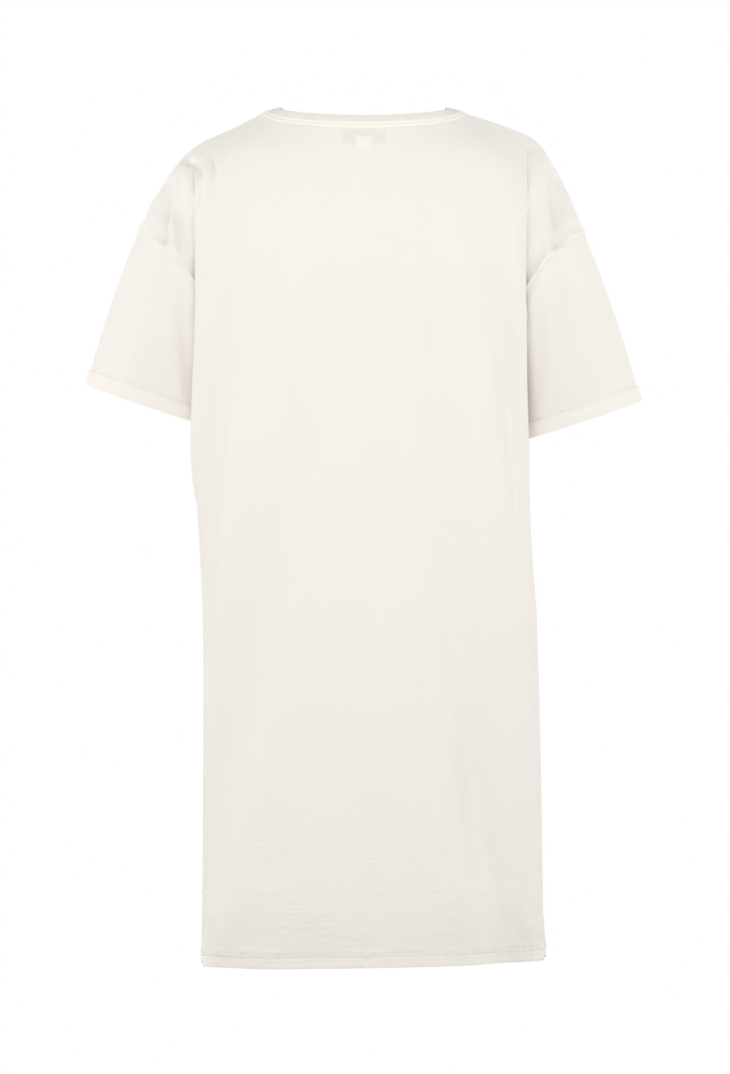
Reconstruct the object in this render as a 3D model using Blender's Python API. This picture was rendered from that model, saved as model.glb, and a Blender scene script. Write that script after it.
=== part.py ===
"""A worn T-shirt dress in plain jersey: two panels, two short sleeves with turned-up cuffs, a bound rib neck and a label.

Metres, +Z up. The back of the dress faces +Y and its front -Y, and the wearer's left is +X. The origin is midway
between the two neck points, at the height of the shoulders that hold the dress up.

Each panel is a sheet over levels, which run from the shoulder line down to the hem, and stations, which run from the
centre line out to the armhole or side seam. The ridge station is the edge of the soft fold that stands over the
sleeve, and the valley station is the bottom of the tuck behind it.
"""

import bpy
import bmesh
import numpy as np

# Cloth and seams
CLOTH = 0.0010          # wall of the jersey
SEAM_GAP = 0.0003       # between two pieces that are sewn together
HEM_TURN = 0.0135       # cloth turned up inside the hem
HEM_STEP = 0.0005       # height over which the wall thickens there
CUFF_HEIGHT = 0.0165    # turned-up band on each sleeve
CUFF_WALL = 0.0012
BINDING_WIDTH = 0.0092  # raised strip over the neck seam
BINDING_RISE = 0.0011   # how far it stands over the panels
BAND_WIDTH = 0.0128     # rib band above it
BAND_WALL = 0.0018

# Slopes of the neck binding and the rib band as they lean inward, in degrees: centre back, shoulders, centre front
BINDING_SLOPES = (60, 22, 56)
BAND_SLOPES = (28, 11, 48)
SLOPE_CURVE = 1.5       # power by which the slope changes from the shoulders to the centres

# How far each strip swells in rows from its lower to its upper edge, as shares of its full height
BINDING_SWELL = (0.5, 1.0, 0.5)
BAND_SWELL = (0.8, 1.0, 1.0, 0.6)

# Blank neck label, sewn in under the neck seam at the centre back
LABEL_WIDTH, LABEL_HEIGHT = 0.049, 0.0165
LABEL_DROP = 0.0010     # from the seam to its upper edge
LABEL_SHIFT = 0.0015    # how far it sits to the left of the middle
LABEL_CLEAR = 0.0006    # from the inside of the back to the label
LABEL_WALL = 0.0010
LABEL_ROWS, LABEL_COLUMNS = 4, 5

# Neck seam: half width at the shoulders, and depth and drop at the centre back and centre front
NECK_HALF = {"left": 0.1090, "right": 0.1075}
NECK_POINT_Z = -0.0074
NECK_BACK_Y, NECK_BACK_Z = 0.066, -0.0250
NECK_FRONT_Y, NECK_FRONT_Z = -0.086, -0.0980
NECK_BACK_CURVE, NECK_FRONT_CURVE = 1.0, 1.5    # powers by which the seam drops toward each centre

SIDES = {"left": 1.0, "right": -1.0}


def table(columns, *rows):
    """Named columns of numbers, a row for each level."""
    return dict(zip(columns.split(), np.array(rows, float).T))


# The top of the shoulder from the neck point to the armhole, as distance from the middle and height
CREST = table(
    "left_x  left_z  right_x  right_z",
    (0.1090, -0.0074, 0.1075, -0.0074),
    (0.1371, -0.0219, 0.1500, -0.0212),
    (0.1777, -0.0411, 0.1835, -0.0372),
    (0.2006, -0.0624, 0.2011, -0.0624),
    (0.2208, -0.0944, 0.2182, -0.0944),
    (0.2400, -0.1296, 0.2356, -0.1382),
)

# Each armhole runs from its outer end over the arm to the underarm: ends, half depth and how far it arches upward
ARMHOLE = {
    "left": {"outer": (0.2400, -0.1296), "under": (0.1500, -0.2300), "depth": 0.070, "arch": 0.0095},
    "right": {"outer": (0.2356, -0.1382), "under": (0.1480, -0.2380), "depth": 0.070, "arch": 0.0175},
}

# Each cuff's edge: outer and inner ends, half depth, and how much lower its back hangs than its middle
CUFF = {
    "left": {"outer": (0.2966, -0.2966), "under": (0.1700, -0.3400), "depth": 0.058, "tip": 0.0022},
    "right": {"outer": (0.2950, -0.3137), "under": (0.1680, -0.3563), "depth": 0.058, "tip": 0.0022},
}
SLEEVE_BOW = 0.003  # how far a sleeve bends outward at half its length

# The panels from just below the shoulder line to the underarm. angle is the place on the armhole, in degrees from
# its outer end. tuck is how far the cloth goes in behind the ridge, pleat how much of that fold has formed, and
# hollow how far the side bends inward between the ridge and the seam.
BACK_YOKE = table(
    "centre_y  centre_z  ridge_left  ridge_right  ridge_y  ridge_z  tuck  valley_y  angle  pleat  hollow",
    (0.0800, -0.0560, 0.1700, 0.1680, 0.0370, -0.0600, 0.000, 0.0340, 25, 0.00, 0.000),
    (0.0920, -0.0930, 0.1790, 0.1725, 0.0630, -0.0950, 0.000, 0.0540, 45, 0.80, 0.000),
    (0.1010, -0.1310, 0.1790, 0.1720, 0.0790, -0.1310, 0.007, 0.0690, 63, 1.00, 0.000),
    (0.1070, -0.1690, 0.1785, 0.1715, 0.0870, -0.1670, 0.013, 0.0750, 84, 1.00, 0.000),
    (0.1100, -0.2070, 0.1785, 0.1710, 0.0910, -0.2040, 0.014, 0.0650, 110, 1.00, 0.000),
    (0.1110, -0.2300, 0.1785, 0.1712, 0.0925, -0.2260, 0.000, 0.0000, 145, 0.00, 0.006),
    (0.1110, -0.2500, 0.1787, 0.1715, 0.0930, -0.2460, 0.000, 0.0000, 180, 0.00, 0.005),
)
FRONT_YOKE = table(
    "centre_y  centre_z  ridge_left  ridge_right  ridge_y  ridge_z  tuck  valley_y  angle  pleat  hollow",
    (-0.0980, -0.1180, 0.1640, 0.1630, -0.0370, -0.0620, 0.000, -0.0340, 25, 0.00, 0.000),
    (-0.1090, -0.1400, 0.1720, 0.1700, -0.0630, -0.0960, 0.000, -0.0540, 45, 0.80, 0.000),
    (-0.1180, -0.1620, 0.1730, 0.1700, -0.0810, -0.1310, 0.007, -0.0710, 63, 1.00, 0.000),
    (-0.1260, -0.1850, 0.1730, 0.1700, -0.0920, -0.1670, 0.013, -0.0780, 84, 1.00, 0.000),
    (-0.1320, -0.2120, 0.1735, 0.1700, -0.0980, -0.2040, 0.014, -0.0670, 110, 1.00, 0.000),
    (-0.1360, -0.2320, 0.1740, 0.1700, -0.1010, -0.2260, 0.000, 0.0000, 145, 0.00, 0.006),
    (-0.1380, -0.2520, 0.1740, 0.1700, -0.1020, -0.2460, 0.000, 0.0000, 180, 0.00, 0.005),
)

# The tube below the underarm, down to the hem. side is the side seam, which the arms push in at the top.
SKIRT = table(
    "left_z  centre_z  right_z  middle_x  back_y  front_y  ridge_left  ridge_right  ridge_y  side_left  side_right"
    "  hollow",
    (-0.300, -0.302, -0.302, 0.000, 0.113, -0.142, 0.1815, 0.1735, 0.088, 0.1470, 0.1440, 0.003),
    (-0.370, -0.370, -0.370, 0.001, 0.115, -0.145, 0.1840, 0.1770, 0.082, 0.1520, 0.1480, 0.002),
    (-0.450, -0.450, -0.450, 0.001, 0.117, -0.147, 0.1795, 0.1795, 0.072, 0.1650, 0.1640, 0.000),
    (-0.550, -0.550, -0.550, 0.000, 0.119, -0.148, 0.1745, 0.1825, 0.060, 0.1715, 0.1785, 0.000),
    (-0.680, -0.680, -0.680, -0.003, 0.121, -0.148, 0.1728, 0.1865, 0.050, 0.1725, 0.1860, 0.000),
    (-0.800, -0.798, -0.797, -0.006, 0.122, -0.148, 0.1730, 0.1890, 0.045, 0.1730, 0.1885, 0.000),
    (-0.9145, -0.9108, -0.9075, -0.009, 0.121, -0.147, 0.1740, 0.1925, 0.045, 0.1740, 0.1925, 0.000),
)

# Soft folds of the hanging cloth, each a trough along its own way down the back or the front: x and z of its
# points, how wide it is and how deep
SOFT_FOLDS = {
    "back": (
        {"way": ((0.133, -0.150), (0.140, -0.250), (0.148, -0.354), (0.164, -0.441)), "wide": 0.020, "deep": 0.0030},
        {"way": ((0.058, -0.230), (0.075, -0.398), (0.097, -0.507), (0.119, -0.602), (0.148, -0.727),
                 (0.160, -0.860)), "wide": 0.020, "deep": 0.0030},
        {"way": ((-0.131, -0.150), (-0.141, -0.230), (-0.150, -0.295), (-0.160, -0.380)), "wide": 0.020,
         "deep": 0.0035},
        {"way": ((-0.064, -0.170), (-0.078, -0.398), (-0.083, -0.544), (-0.101, -0.654), (-0.122, -0.763),
                 (-0.152, -0.836), (-0.166, -0.905)), "wide": 0.020, "deep": 0.0030},
    ),
    "front": (
        {"way": ((0.120, -0.170), (0.130, -0.280), (0.146, -0.400)), "wide": 0.020, "deep": 0.0030},
        {"way": ((0.050, -0.300), (0.066, -0.480), (0.098, -0.680), (0.120, -0.880)), "wide": 0.022, "deep": 0.0035},
        {"way": ((-0.124, -0.170), (-0.136, -0.290), (-0.152, -0.430)), "wide": 0.020, "deep": 0.0030},
        {"way": ((-0.060, -0.290), (-0.080, -0.520), (-0.118, -0.740), (-0.136, -0.890)), "wide": 0.022,
         "deep": 0.0035},
    ),
}
ROUNDNESS = 2.3                     # power of the curve from the centre line out to the ridge
STATIONS_IN = (0.40, 0.75, 0.93)    # stations on that curve, as shares of the ridge's distance
STATIONS_OUT = (0.20, 0.40, 0.70)   # stations from the ridge to the edge, as shares of the way
CAP_LEVELS = 5                      # levels over which the rounding of the shoulder fades out
TUCK_TURN = (0.25, 0.5)             # where the fold turns in, as shares of the tuck's depth and of its width
SHELF = 0.5                         # the station between the tuck and the armhole, as a share of the way
FOLD_ENDS = 0.7                     # power by which a soft fold fades toward its ends
EDGE = 8                            # number of the edge station; the ridge is station 4
CORNER = 3                          # station of the neck point on the top level
UNDERARM = 7                        # level of the underarm
HEM = 14                            # level of the hem


def unit(vectors):
    return vectors / np.linalg.norm(vectors, axis=-1, keepdims=True)


def through(knots, values, at):
    """A smooth curve that never overshoots, through the values at the knots, read at other places."""
    knots, at = np.asarray(knots, float), np.asarray(at, float)
    steps = np.diff(knots)[:, None]
    rises = np.diff(values, axis=0) / steps
    before, after = rises[:-1], rises[1:]
    turns = before * after <= 0
    near, far = 2 * steps[1:] + steps[:-1], steps[1:] + 2 * steps[:-1]
    inner = (near + far) / (near / np.where(turns, 1, before) + far / np.where(turns, 1, after))
    slopes = np.concatenate([rises[:1], np.where(turns, 0, inner), rises[-1:]])
    piece = np.clip(np.searchsorted(knots, at, side="right") - 1, 0, len(steps) - 1)
    width = steps[piece]
    f = (at - knots[piece])[:, None] / width
    start, end = values[piece], values[piece + 1]
    rise = start * (2 * f + 1) * (1 - f) ** 2 + end * (3 - 2 * f) * f**2
    return rise + width * (slopes[piece] * f * (1 - f) ** 2 - slopes[piece + 1] * (1 - f) * f**2)


def along(points):
    """Distance along a line of points."""
    return np.concatenate([[0.0], np.cumsum(np.linalg.norm(np.diff(points, axis=0), axis=1))])


def neck_seam(degrees):
    """Points of the neck seam, from the centre back (0) over the left shoulder (90) to the centre front (180)."""
    turn = np.radians(degrees)
    sine, cosine = np.sin(turn), np.cos(turn)
    half = np.where(sine > 0, NECK_HALF["left"], NECK_HALF["right"])
    back = cosine > 0
    y = np.where(back, NECK_BACK_Y, -NECK_FRONT_Y) * cosine
    drop = np.where(back, NECK_BACK_Z, NECK_FRONT_Z) - NECK_POINT_Z
    z = NECK_POINT_Z + drop * np.abs(cosine) ** np.where(back, NECK_BACK_CURVE, NECK_FRONT_CURVE)
    return np.stack([half * sine, y, z], axis=-1)


def armhole(side, degrees, front):
    """A point on the armhole seam, by its angle from the outer end."""
    hole, turn = ARMHOLE[side], np.radians(degrees)
    (outer_x, outer_z), (under_x, under_z) = hole["outer"], hole["under"]
    share = (1 + np.cos(turn)) / 2
    x = under_x + (outer_x - under_x) * share
    z = under_z + (outer_z - under_z) * share + hole["arch"] * np.sin(turn) ** 2
    y = hole["depth"] * np.sin(turn) * (-1 if front else 1)
    return np.array([SIDES[side] * x, y, z])


def crest(side):
    """Points along the top of the shoulder, from the neck point to the armhole."""
    x, z = CREST[f"{side}_x"], CREST[f"{side}_z"]
    return np.stack([SIDES[side] * x, 0 * x, z], axis=1)


def inner_stations(centre, ridge):
    """Stations from the centre line to the ridge, on a curve that is flat at the centre and turns in at the ridge."""
    found = [centre]
    for share in STATIONS_IN:
        depth = (1 - share**ROUNDNESS) ** (1 / ROUNDNESS)
        x = centre[0] + (ridge[0] - centre[0]) * share
        y = ridge[1] + (centre[1] - ridge[1]) * depth
        z = centre[2] + (ridge[2] - centre[2]) * share
        found.append(np.array([x, y, z]))
    return found + [ridge]


def roundness(side, share):
    """How far the top of the shoulder bulges out of a straight line, at a share of the way to the armhole."""
    top = crest(side)[1:]
    way = along(top) / along(top)[-1]
    return through(way, top, [share])[0] - (top[0] + (top[-1] - top[0]) * share)


def cap_stations(side, ridge, edge):
    """Stations from the ridge to the armhole with no fold: a straight way, rounded like the top of the shoulder."""
    return [ridge + (edge - ridge) * share + roundness(side, share) for share in STATIONS_OUT]


def tuck_stations(side, level, ridge, edge, tuck, valley_y):
    """Stations of the fold: in behind the ridge, the bottom of the tuck, and out again on the arm."""
    inward = -SIDES[side] * tuck
    deep, wide = TUCK_TURN
    turn = np.array([ridge[0] + deep * inward, ridge[1] + wide * (valley_y - ridge[1]), ridge[2]])
    valley = np.array([ridge[0] + inward, valley_y, ridge[2]])
    shelf = valley + (edge - valley) * SHELF + roundness(side, SHELF) * max(0, 1 - level / CAP_LEVELS)
    return [turn, valley, shelf]


def round_stations(side, ridge, edge, hollow):
    """Stations from the ridge round the side of the tube to its side seam."""
    found = []
    for share in STATIONS_OUT:
        point = ridge + (edge - ridge) * share
        point[0] = ridge[0] + (edge[0] - ridge[0]) * np.sin(share * np.pi / 2) ** 2
        point[0] -= SIDES[side] * hollow * np.sin(share * np.pi)
        found.append(point)
    return found


def yoke_stations(yoke, level, side, front):
    row = {name: column[level - 1] for name, column in yoke.items()}
    centre = np.array([0.0, row["centre_y"], row["centre_z"]])
    ridge = np.array([SIDES[side] * row[f"ridge_{side}"], row["ridge_y"], row["ridge_z"]])
    edge = armhole(side, row["angle"], front)
    if level >= UNDERARM - 1:
        outer = round_stations(side, ridge, edge, row["hollow"])
    else:
        cap = cap_stations(side, ridge, edge)
        fold = tuck_stations(side, level, ridge, edge, row["tuck"], row["valley_y"])
        outer = [(1 - row["pleat"]) * a + row["pleat"] * b for a, b in zip(cap, fold)]
    return inner_stations(centre, ridge) + outer + [edge]


def skirt_stations(level, side, front):
    row = {name: column[level - UNDERARM - 1] for name, column in SKIRT.items()}
    facing = -1 if front else 1
    centre = np.array([row["middle_x"], row["front_y" if front else "back_y"], row["centre_z"]])
    ridge = np.array([SIDES[side] * row[f"ridge_{side}"], facing * row["ridge_y"], row[f"{side}_z"]])
    edge = np.array([SIDES[side] * row[f"side_{side}"], 0.0, row[f"{side}_z"]])
    return inner_stations(centre, ridge) + round_stations(side, ridge, edge, row["hollow"]) + [edge]


def level_points(level, front):
    """Points of one level at every whole station, from the right seam to the left."""
    halves = {}
    for side in SIDES:
        if level == 0:
            halves[side] = [neck_seam(0)] * CORNER + list(crest(side))
        elif level <= UNDERARM:
            halves[side] = yoke_stations(FRONT_YOKE if front else BACK_YOKE, level, side, front)
        else:
            halves[side] = skirt_stations(level, side, front)
    return np.array(halves["right"][::-1] + halves["left"][1:])


def level_row(level, front, stations):
    """Points of one level at the given stations, which run from -EDGE at the right seam to EDGE at the left. The
    top level is the neck seam out to the neck points, and then the shoulder seams."""
    points = level_points(level, front)
    numbers = np.arange(-EDGE, EDGE + 1)
    runs = [(-EDGE, -CORNER), (CORNER, EDGE)] if level == 0 else [(-EDGE, EDGE)]
    turn = stations / CORNER * 90
    found = neck_seam(np.where(turn < 0, -180, 180) - turn if front else turn)
    for first, last in runs:
        run = points[first + EDGE:last + EDGE + 1]
        knots = along(run)
        here = (stations >= first) & (stations <= last)
        places = np.interp(stations[here], numbers[first + EDGE:last + EDGE + 1], knots)
        found[here] = through(knots, run, places)
    return found


def level_places():
    """How far down the cloth each level lies, taken over both panels, so that their seams meet."""
    stations = np.arange(-EDGE, EDGE + 1).astype(float)
    steps = np.zeros(HEM)
    for front in (False, True):
        rows = np.array([level_row(level, front, stations) for level in range(HEM + 1)])
        steps += np.linalg.norm(np.diff(rows, axis=0), axis=2).mean(axis=1) / 2
    return np.concatenate([[0.0], np.cumsum(steps)])


def panel(front, stations, levels):
    """The outer surface of a panel at the given stations and levels: an array of levels by stations by 3."""
    stations, levels = np.asarray(stations, float), np.asarray(levels, float)
    rows = np.array([level_row(level, front, stations) for level in range(HEM + 1)])
    knots = level_places()
    at = np.interp(levels, np.arange(HEM + 1), knots)
    return through(knots, rows.reshape(HEM + 1, -1), at).reshape(len(levels), len(stations), 3)


def spread(counts):
    """Places from 0 up, with as many steps between whole numbers as counts says."""
    places = [0.0]
    for number, count in enumerate(counts):
        places += [number + (step + 1) / count for step in range(count)]
    return np.array(places)


SMOOTH_MEETING = 0.8    # cosine of the angle up to which two surfaces meet smoothly
MITRE_LIMIT = 0.55      # shortest mean normal that still sets a mitre's length
SHARP_EDGE = 40         # degrees from which an edge is shaded sharp

FINISHES = {
    "jersey": {"colour": (0.93, 0.905, 0.865), "roughness": 0.9},
    "rib": {"colour": (0.91, 0.885, 0.845), "roughness": 0.9},
    "label_tape": {"colour": (0.90, 0.88, 0.85), "roughness": 0.8},
}

# How finely each stretch is divided
STATION_STEPS = (3, 3, 3, 2, 1, 2, 2, 2)
LEVEL_STEPS = (2, 1, 2, 1, 1, 1, 1, 1, 1, 1, 2, 2, 2)
SLEEVE_STEPS = 5
CUFF_ROWS = 3           # last rows of a sleeve, which its cuff covers

HALF = spread(STATION_STEPS)
STATIONS = np.concatenate([-HALF[:0:-1], HALF])


def fold_depth(points, folds):
    """How deep the soft folds are at each point of a surface."""
    x, z = points[..., 0], points[..., 2]
    total = np.zeros(x.shape)
    for fold in folds:
        way_x, way_z = np.array(fold["way"]).T
        middle = np.interp(-z, -way_z, way_x)
        share = np.clip((way_z[0] - z) / (way_z[0] - way_z[-1]), 0, 1)
        ends = np.sin(np.pi * share) ** FOLD_ENDS
        total += fold["deep"] * ends * np.exp(-(((x - middle) / fold["wide"]) ** 2))
    return total


def sleeve(side, front_panel, back_panel, rows):
    """The outer surface of a sleeve, closed round the arm. Its last rows are the cuff's."""
    column = -1 if side == "left" else 0
    back, front = back_panel[:rows, column], front_panel[:rows, column]
    top = np.concatenate([back, front[-2:0:-1]])
    cuff, mirror = CUFF[side], SIDES[side]
    (outer_x, outer_z), (under_x, under_z) = cuff["outer"], cuff["under"]
    way = along(np.concatenate([top, top[:1]]))
    half_way = way[rows - 1]
    turn = np.where(way < half_way, way / half_way, 1 + (way - half_way) / (way[-1] - half_way))[:-1] * np.pi
    share = (1 + np.cos(turn)) / 2
    y = cuff["depth"] * np.sin(turn)
    z = under_z + (outer_z - under_z) * share - cuff["tip"] * np.sin(turn)
    edge = np.stack([mirror * (under_x + (outer_x - under_x) * share), y, z], axis=1)
    length = np.linalg.norm(edge - top, axis=1)
    shares = [step / SLEEVE_STEPS * (1 - CUFF_HEIGHT / length) for step in range(SLEEVE_STEPS + 1)]
    shares += [1 - CUFF_HEIGHT / length / 2, np.ones(len(top))]
    bow = np.array([mirror * SLEEVE_BOW, 0, 0])
    return np.array([top + (edge - top) * s[:, None] + bow * np.sin(np.pi * s)[:, None] for s in shares])


def neck_loop(front_panel, back_panel):
    """The neck seam as a closed loop, from the centre back over the left shoulder."""
    middle, corner = len(HALF) - 1, sum(STATION_STEPS[:CORNER])
    back, front = back_panel[0], front_panel[0]
    left = np.concatenate([back[middle:middle + corner], front[middle + corner:middle:-1]])
    right = np.concatenate([front[middle:middle - corner:-1], back[middle - corner:middle]])
    return np.concatenate([left, right])


def neck_strip(loop, start, width, slopes, steps):
    """Rows of points of a strip that leans inward round the neck, and its outward normals."""
    along_loop = unit(np.roll(loop, -1, axis=0) - np.roll(loop, 1, axis=0))
    inward = unit(np.cross((0, 0, -1.0), along_loop * (1, 1, 0)))
    backward = -inward[:, 1]
    back_slope, side_slope, front_slope = slopes
    end_slope = np.where(backward > 0, back_slope, front_slope)
    lean = np.radians(side_slope + (end_slope - side_slope) * np.abs(backward) ** SLOPE_CURVE)[:, None]
    rise = inward * np.cos(lean) + np.array([0, 0, 1.0]) * np.sin(lean)
    rows = np.array([loop + rise * (start + width * step / steps) for step in range(steps + 1)])
    return rows, np.repeat(unit(np.cross(rise, along_loop))[None], steps + 1, axis=0)


def neck_pieces(front_panel, back_panel):
    """The binding over the neck seam and the rib band above it, each as its outer and its inner surface."""
    loop = neck_loop(front_panel, back_panel)
    strip, strip_normals = neck_strip(loop, SEAM_GAP, BINDING_WIDTH, BINDING_SLOPES, len(BINDING_SWELL) - 1)
    band, band_normals = neck_strip(strip[-1], SEAM_GAP, BAND_WIDTH, BAND_SLOPES, len(BAND_SWELL) - 1)
    strip_normals[-1] = band_normals[0] = mitre((strip_normals[0] + band_normals[0]) / 2)
    strip_swell = np.array(BINDING_SWELL)[:, None, None] * BINDING_RISE
    band_swell = np.array(BAND_SWELL)[:, None, None] * BAND_WALL / 2
    binding = strip + strip_swell * strip_normals, strip - CLOTH * strip_normals
    return binding, (band + band_swell * band_normals, band - band_swell * band_normals)


def label_surface():
    """The place of the label on the back, as levels by stations."""
    corner = panel(False, (0, 1), (0, 1))
    wide, high = np.linspace(-0.5, 0.5, LABEL_COLUMNS), np.linspace(0, 1, LABEL_ROWS)
    across = (LABEL_SHIFT + LABEL_WIDTH * wide) / np.linalg.norm(corner[0, 1] - corner[0, 0])
    down = (LABEL_DROP + LABEL_HEIGHT * high) / np.linalg.norm(corner[1, 0] - corner[0, 0])
    return panel(False, across, down)


def mean_normals(grid, closed, sign):
    """The mean of the unit normals of the faces round each point of a grid. It is shorter than 1 on a fold."""
    if closed:
        grid = np.concatenate([grid, grid[:, :1]], axis=1)
    across, down = np.diff(grid, axis=1), np.diff(grid, axis=0)
    faces = sign * unit(np.cross(across[:-1] + across[1:], down[:, :-1] + down[:, 1:]))
    total, count = np.zeros_like(grid), np.zeros((*grid.shape[:2], 1))
    for rows in (slice(0, -1), slice(1, None)):
        for columns in (slice(0, -1), slice(1, None)):
            total[rows, columns] += faces
            count[rows, columns] += 1
    if closed:
        total[:, 0] += total[:, -1]
        count[:, 0] += count[:, -1]
        total, count = total[:, :-1], count[:, :-1]
    return total / count


def mitre(mean):
    """Lengthens mean normals so that a wall drawn along them is as thick on a fold as on the flat."""
    length = np.linalg.norm(mean, axis=-1, keepdims=True)
    return mean / length / np.clip(length, MITRE_LIMIT, 1)


def outward(grids):
    """Mitred normals of each surface. Where two surfaces meet smoothly they share one."""
    own = {name: mean_normals(*given) for name, given in grids.items()}
    keys = {
        name: [tuple(place + 0.0) for place in np.round(grid.reshape(-1, 3), 6)] for name, (grid, _, _) in grids.items()
    }
    meeting = {}
    for name in grids:
        for key, normal in zip(keys[name], own[name].reshape(-1, 3)):
            meeting.setdefault(key, []).append(normal)
    found = {}
    for name, (grid, _, _) in grids.items():
        shared = np.array([np.mean(meeting[key], axis=0) for key in keys[name]])
        mine = own[name].reshape(-1, 3)
        smooth = (unit(shared) * unit(mine)).sum(axis=1, keepdims=True) > SMOOTH_MEETING
        found[name] = mitre(np.where(smooth, shared, mine)).reshape(grid.shape)
    return found


def pull_in(grid, rows=(), columns=(), gap=SEAM_GAP / 2):
    """A copy of a grid with its outermost rows or columns, 0 or -1, drawn back from a seam."""
    grid = grid.copy()
    for end in rows:
        grid[end] += gap * unit(grid[1 if end == 0 else -2] - grid[end])
    for end in columns:
        grid[:, end] += gap * unit(grid[:, 1 if end == 0 else -2] - grid[:, end])
    return grid


def material(name, colour, roughness):
    made = bpy.data.materials.new(name)
    made.use_nodes = True
    shader = made.node_tree.nodes["Principled BSDF"]
    shader.inputs["Base Color"].default_value = (*colour, 1.0)
    shader.inputs["Roughness"].default_value = roughness
    shader.inputs["Metallic"].default_value = 0.0
    return made


def wall(name, outer, inner, closed, finish):
    """A closed solid between two surfaces with the same rows and columns, joined round their open edges. Both
    surfaces are divided along the same diagonals, the shorter ones, so that the wall is as thick all over."""
    rows, columns = outer.shape[:2]
    mesh = bmesh.new()
    layers = [[[mesh.verts.new(point) for point in row] for row in surface] for surface in (outer, inner)]
    last = columns if closed else columns - 1
    for i in range(rows - 1):
        for j in range(last):
            k = (j + 1) % columns
            falls = np.linalg.norm(outer[i + 1, k] - outer[i, j]) < np.linalg.norm(outer[i + 1, j] - outer[i, k])
            for layer in layers:
                a, b, c, d = layer[i][j], layer[i][k], layer[i + 1][k], layer[i + 1][j]
                for corners in ((a, b, c), (a, c, d)) if falls else ((a, b, d), (b, c, d)):
                    mesh.faces.new(corners)
    for i in (0, rows - 1):
        for j in range(last):
            k = (j + 1) % columns
            mesh.faces.new((layers[0][i][j], layers[0][i][k], layers[1][i][k], layers[1][i][j]))
    if not closed:
        for j in (0, columns - 1):
            for i in range(rows - 1):
                mesh.faces.new((layers[0][i][j], layers[0][i + 1][j], layers[1][i + 1][j], layers[1][i][j]))
    bmesh.ops.recalc_face_normals(mesh, faces=mesh.faces)
    data = bpy.data.meshes.new(name)
    mesh.to_mesh(data)
    mesh.free()
    data.shade_smooth()
    data.set_sharp_from_angle(angle=np.radians(SHARP_EDGE))
    data.materials.append(finish)
    made = bpy.data.objects.new(name, data)
    bpy.context.collection.objects.link(made)
    return made


def main():
    for old in list(bpy.data.objects):
        bpy.data.objects.remove(old, do_unlink=True)
    jersey, rib, tape = (material(name, **finish) for name, finish in FINISHES.items())

    drop = SKIRT["centre_z"][-2] - SKIRT["centre_z"][-1]
    turn_up = HEM - HEM_TURN / drop
    above_hem = [HEM - 0.5, turn_up - HEM_STEP / drop, turn_up, HEM]
    levels = np.concatenate([spread(LEVEL_STEPS), above_hem])
    back, front = panel(False, STATIONS, levels), panel(True, STATIONS, levels)
    yoke_rows = int(np.searchsorted(levels, UNDERARM)) + 1
    sleeves = {side: sleeve(side, front, back, yoke_rows) for side in SIDES}
    grids = {"back": (back, False, 1), "front": (front, False, -1)}
    for side, mirror in SIDES.items():
        grids[f"sleeve_{side}"] = (sleeves[side], True, -mirror)
    normals = outward(grids)

    thickness = np.where(levels >= turn_up, 2 * CLOTH, CLOTH)[:, None, None]
    for name, grid in (("back", back), ("front", front)):
        folded = grid - fold_depth(grid, SOFT_FOLDS[name])[..., None] * normals[name]
        trimmed = pull_in(folded, rows=(0,), columns=(0, -1))
        wall(name, trimmed, trimmed - thickness * normals[name], False, jersey)
    for side in SIDES:
        name = f"sleeve_{side}"
        trimmed = pull_in(sleeves[side], rows=(0,))
        wall(name, trimmed, trimmed - CLOTH * normals[name], True, jersey)
        cuff_normals = normals[name][-CUFF_ROWS:]
        under = sleeves[side][-CUFF_ROWS:] + SEAM_GAP * cuff_normals
        wall(f"cuff_{side}", under + CUFF_WALL * cuff_normals, under, True, jersey)

    binding, band = neck_pieces(front, back)
    wall("neck_binding", *binding, True, jersey)
    wall("neckband", *band, True, rib)
    outer = label_surface()
    inward = -mitre(mean_normals(outer, False, 1))
    facing = outer + (CLOTH + LABEL_CLEAR) * inward
    wall("neck_label", facing, facing + LABEL_WALL * inward, False, tape)


main()
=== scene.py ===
"""A worn T-shirt dress in plain off-white jersey, hollow and filled out, with cuffed sleeves and a bound rib neck.

Metres, +Z up. The back faces +Y, the front -Y, and the wearer's left is +X. Each cloth piece is a thin wall with an
outer and an inner side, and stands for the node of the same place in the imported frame.
"""

import functools

import bpy
import numpy as np
from bpy.props import FloatProperty, FloatVectorProperty, PointerProperty
from bpy.types import Operator, Panel, PropertyGroup
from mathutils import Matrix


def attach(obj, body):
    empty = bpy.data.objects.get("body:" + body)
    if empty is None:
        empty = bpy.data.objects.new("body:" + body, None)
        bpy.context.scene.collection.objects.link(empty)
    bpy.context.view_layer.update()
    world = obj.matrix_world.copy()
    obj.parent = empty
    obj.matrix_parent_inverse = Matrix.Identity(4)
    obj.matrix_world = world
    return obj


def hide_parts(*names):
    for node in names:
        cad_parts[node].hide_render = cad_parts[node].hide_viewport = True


bl_info = {
    "name": "T-shirt Dress",
    "version": (1, 0, 0),
    "blender": (4, 5, 0),
    "location": "View3D > Sidebar > Dress",
    "description": "Builds a worn T-shirt dress in plain jersey with cuffed sleeves, a bound rib neck and stitching",
    "category": "Add Mesh",
}

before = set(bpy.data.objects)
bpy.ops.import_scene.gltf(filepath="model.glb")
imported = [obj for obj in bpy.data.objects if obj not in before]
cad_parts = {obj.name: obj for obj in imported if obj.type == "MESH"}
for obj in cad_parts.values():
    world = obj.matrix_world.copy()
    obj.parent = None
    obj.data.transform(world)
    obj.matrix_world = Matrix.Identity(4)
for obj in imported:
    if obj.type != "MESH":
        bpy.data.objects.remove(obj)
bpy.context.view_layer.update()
BODY = "root"

# ---------------------------------------------------------------- form of the dress

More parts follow.
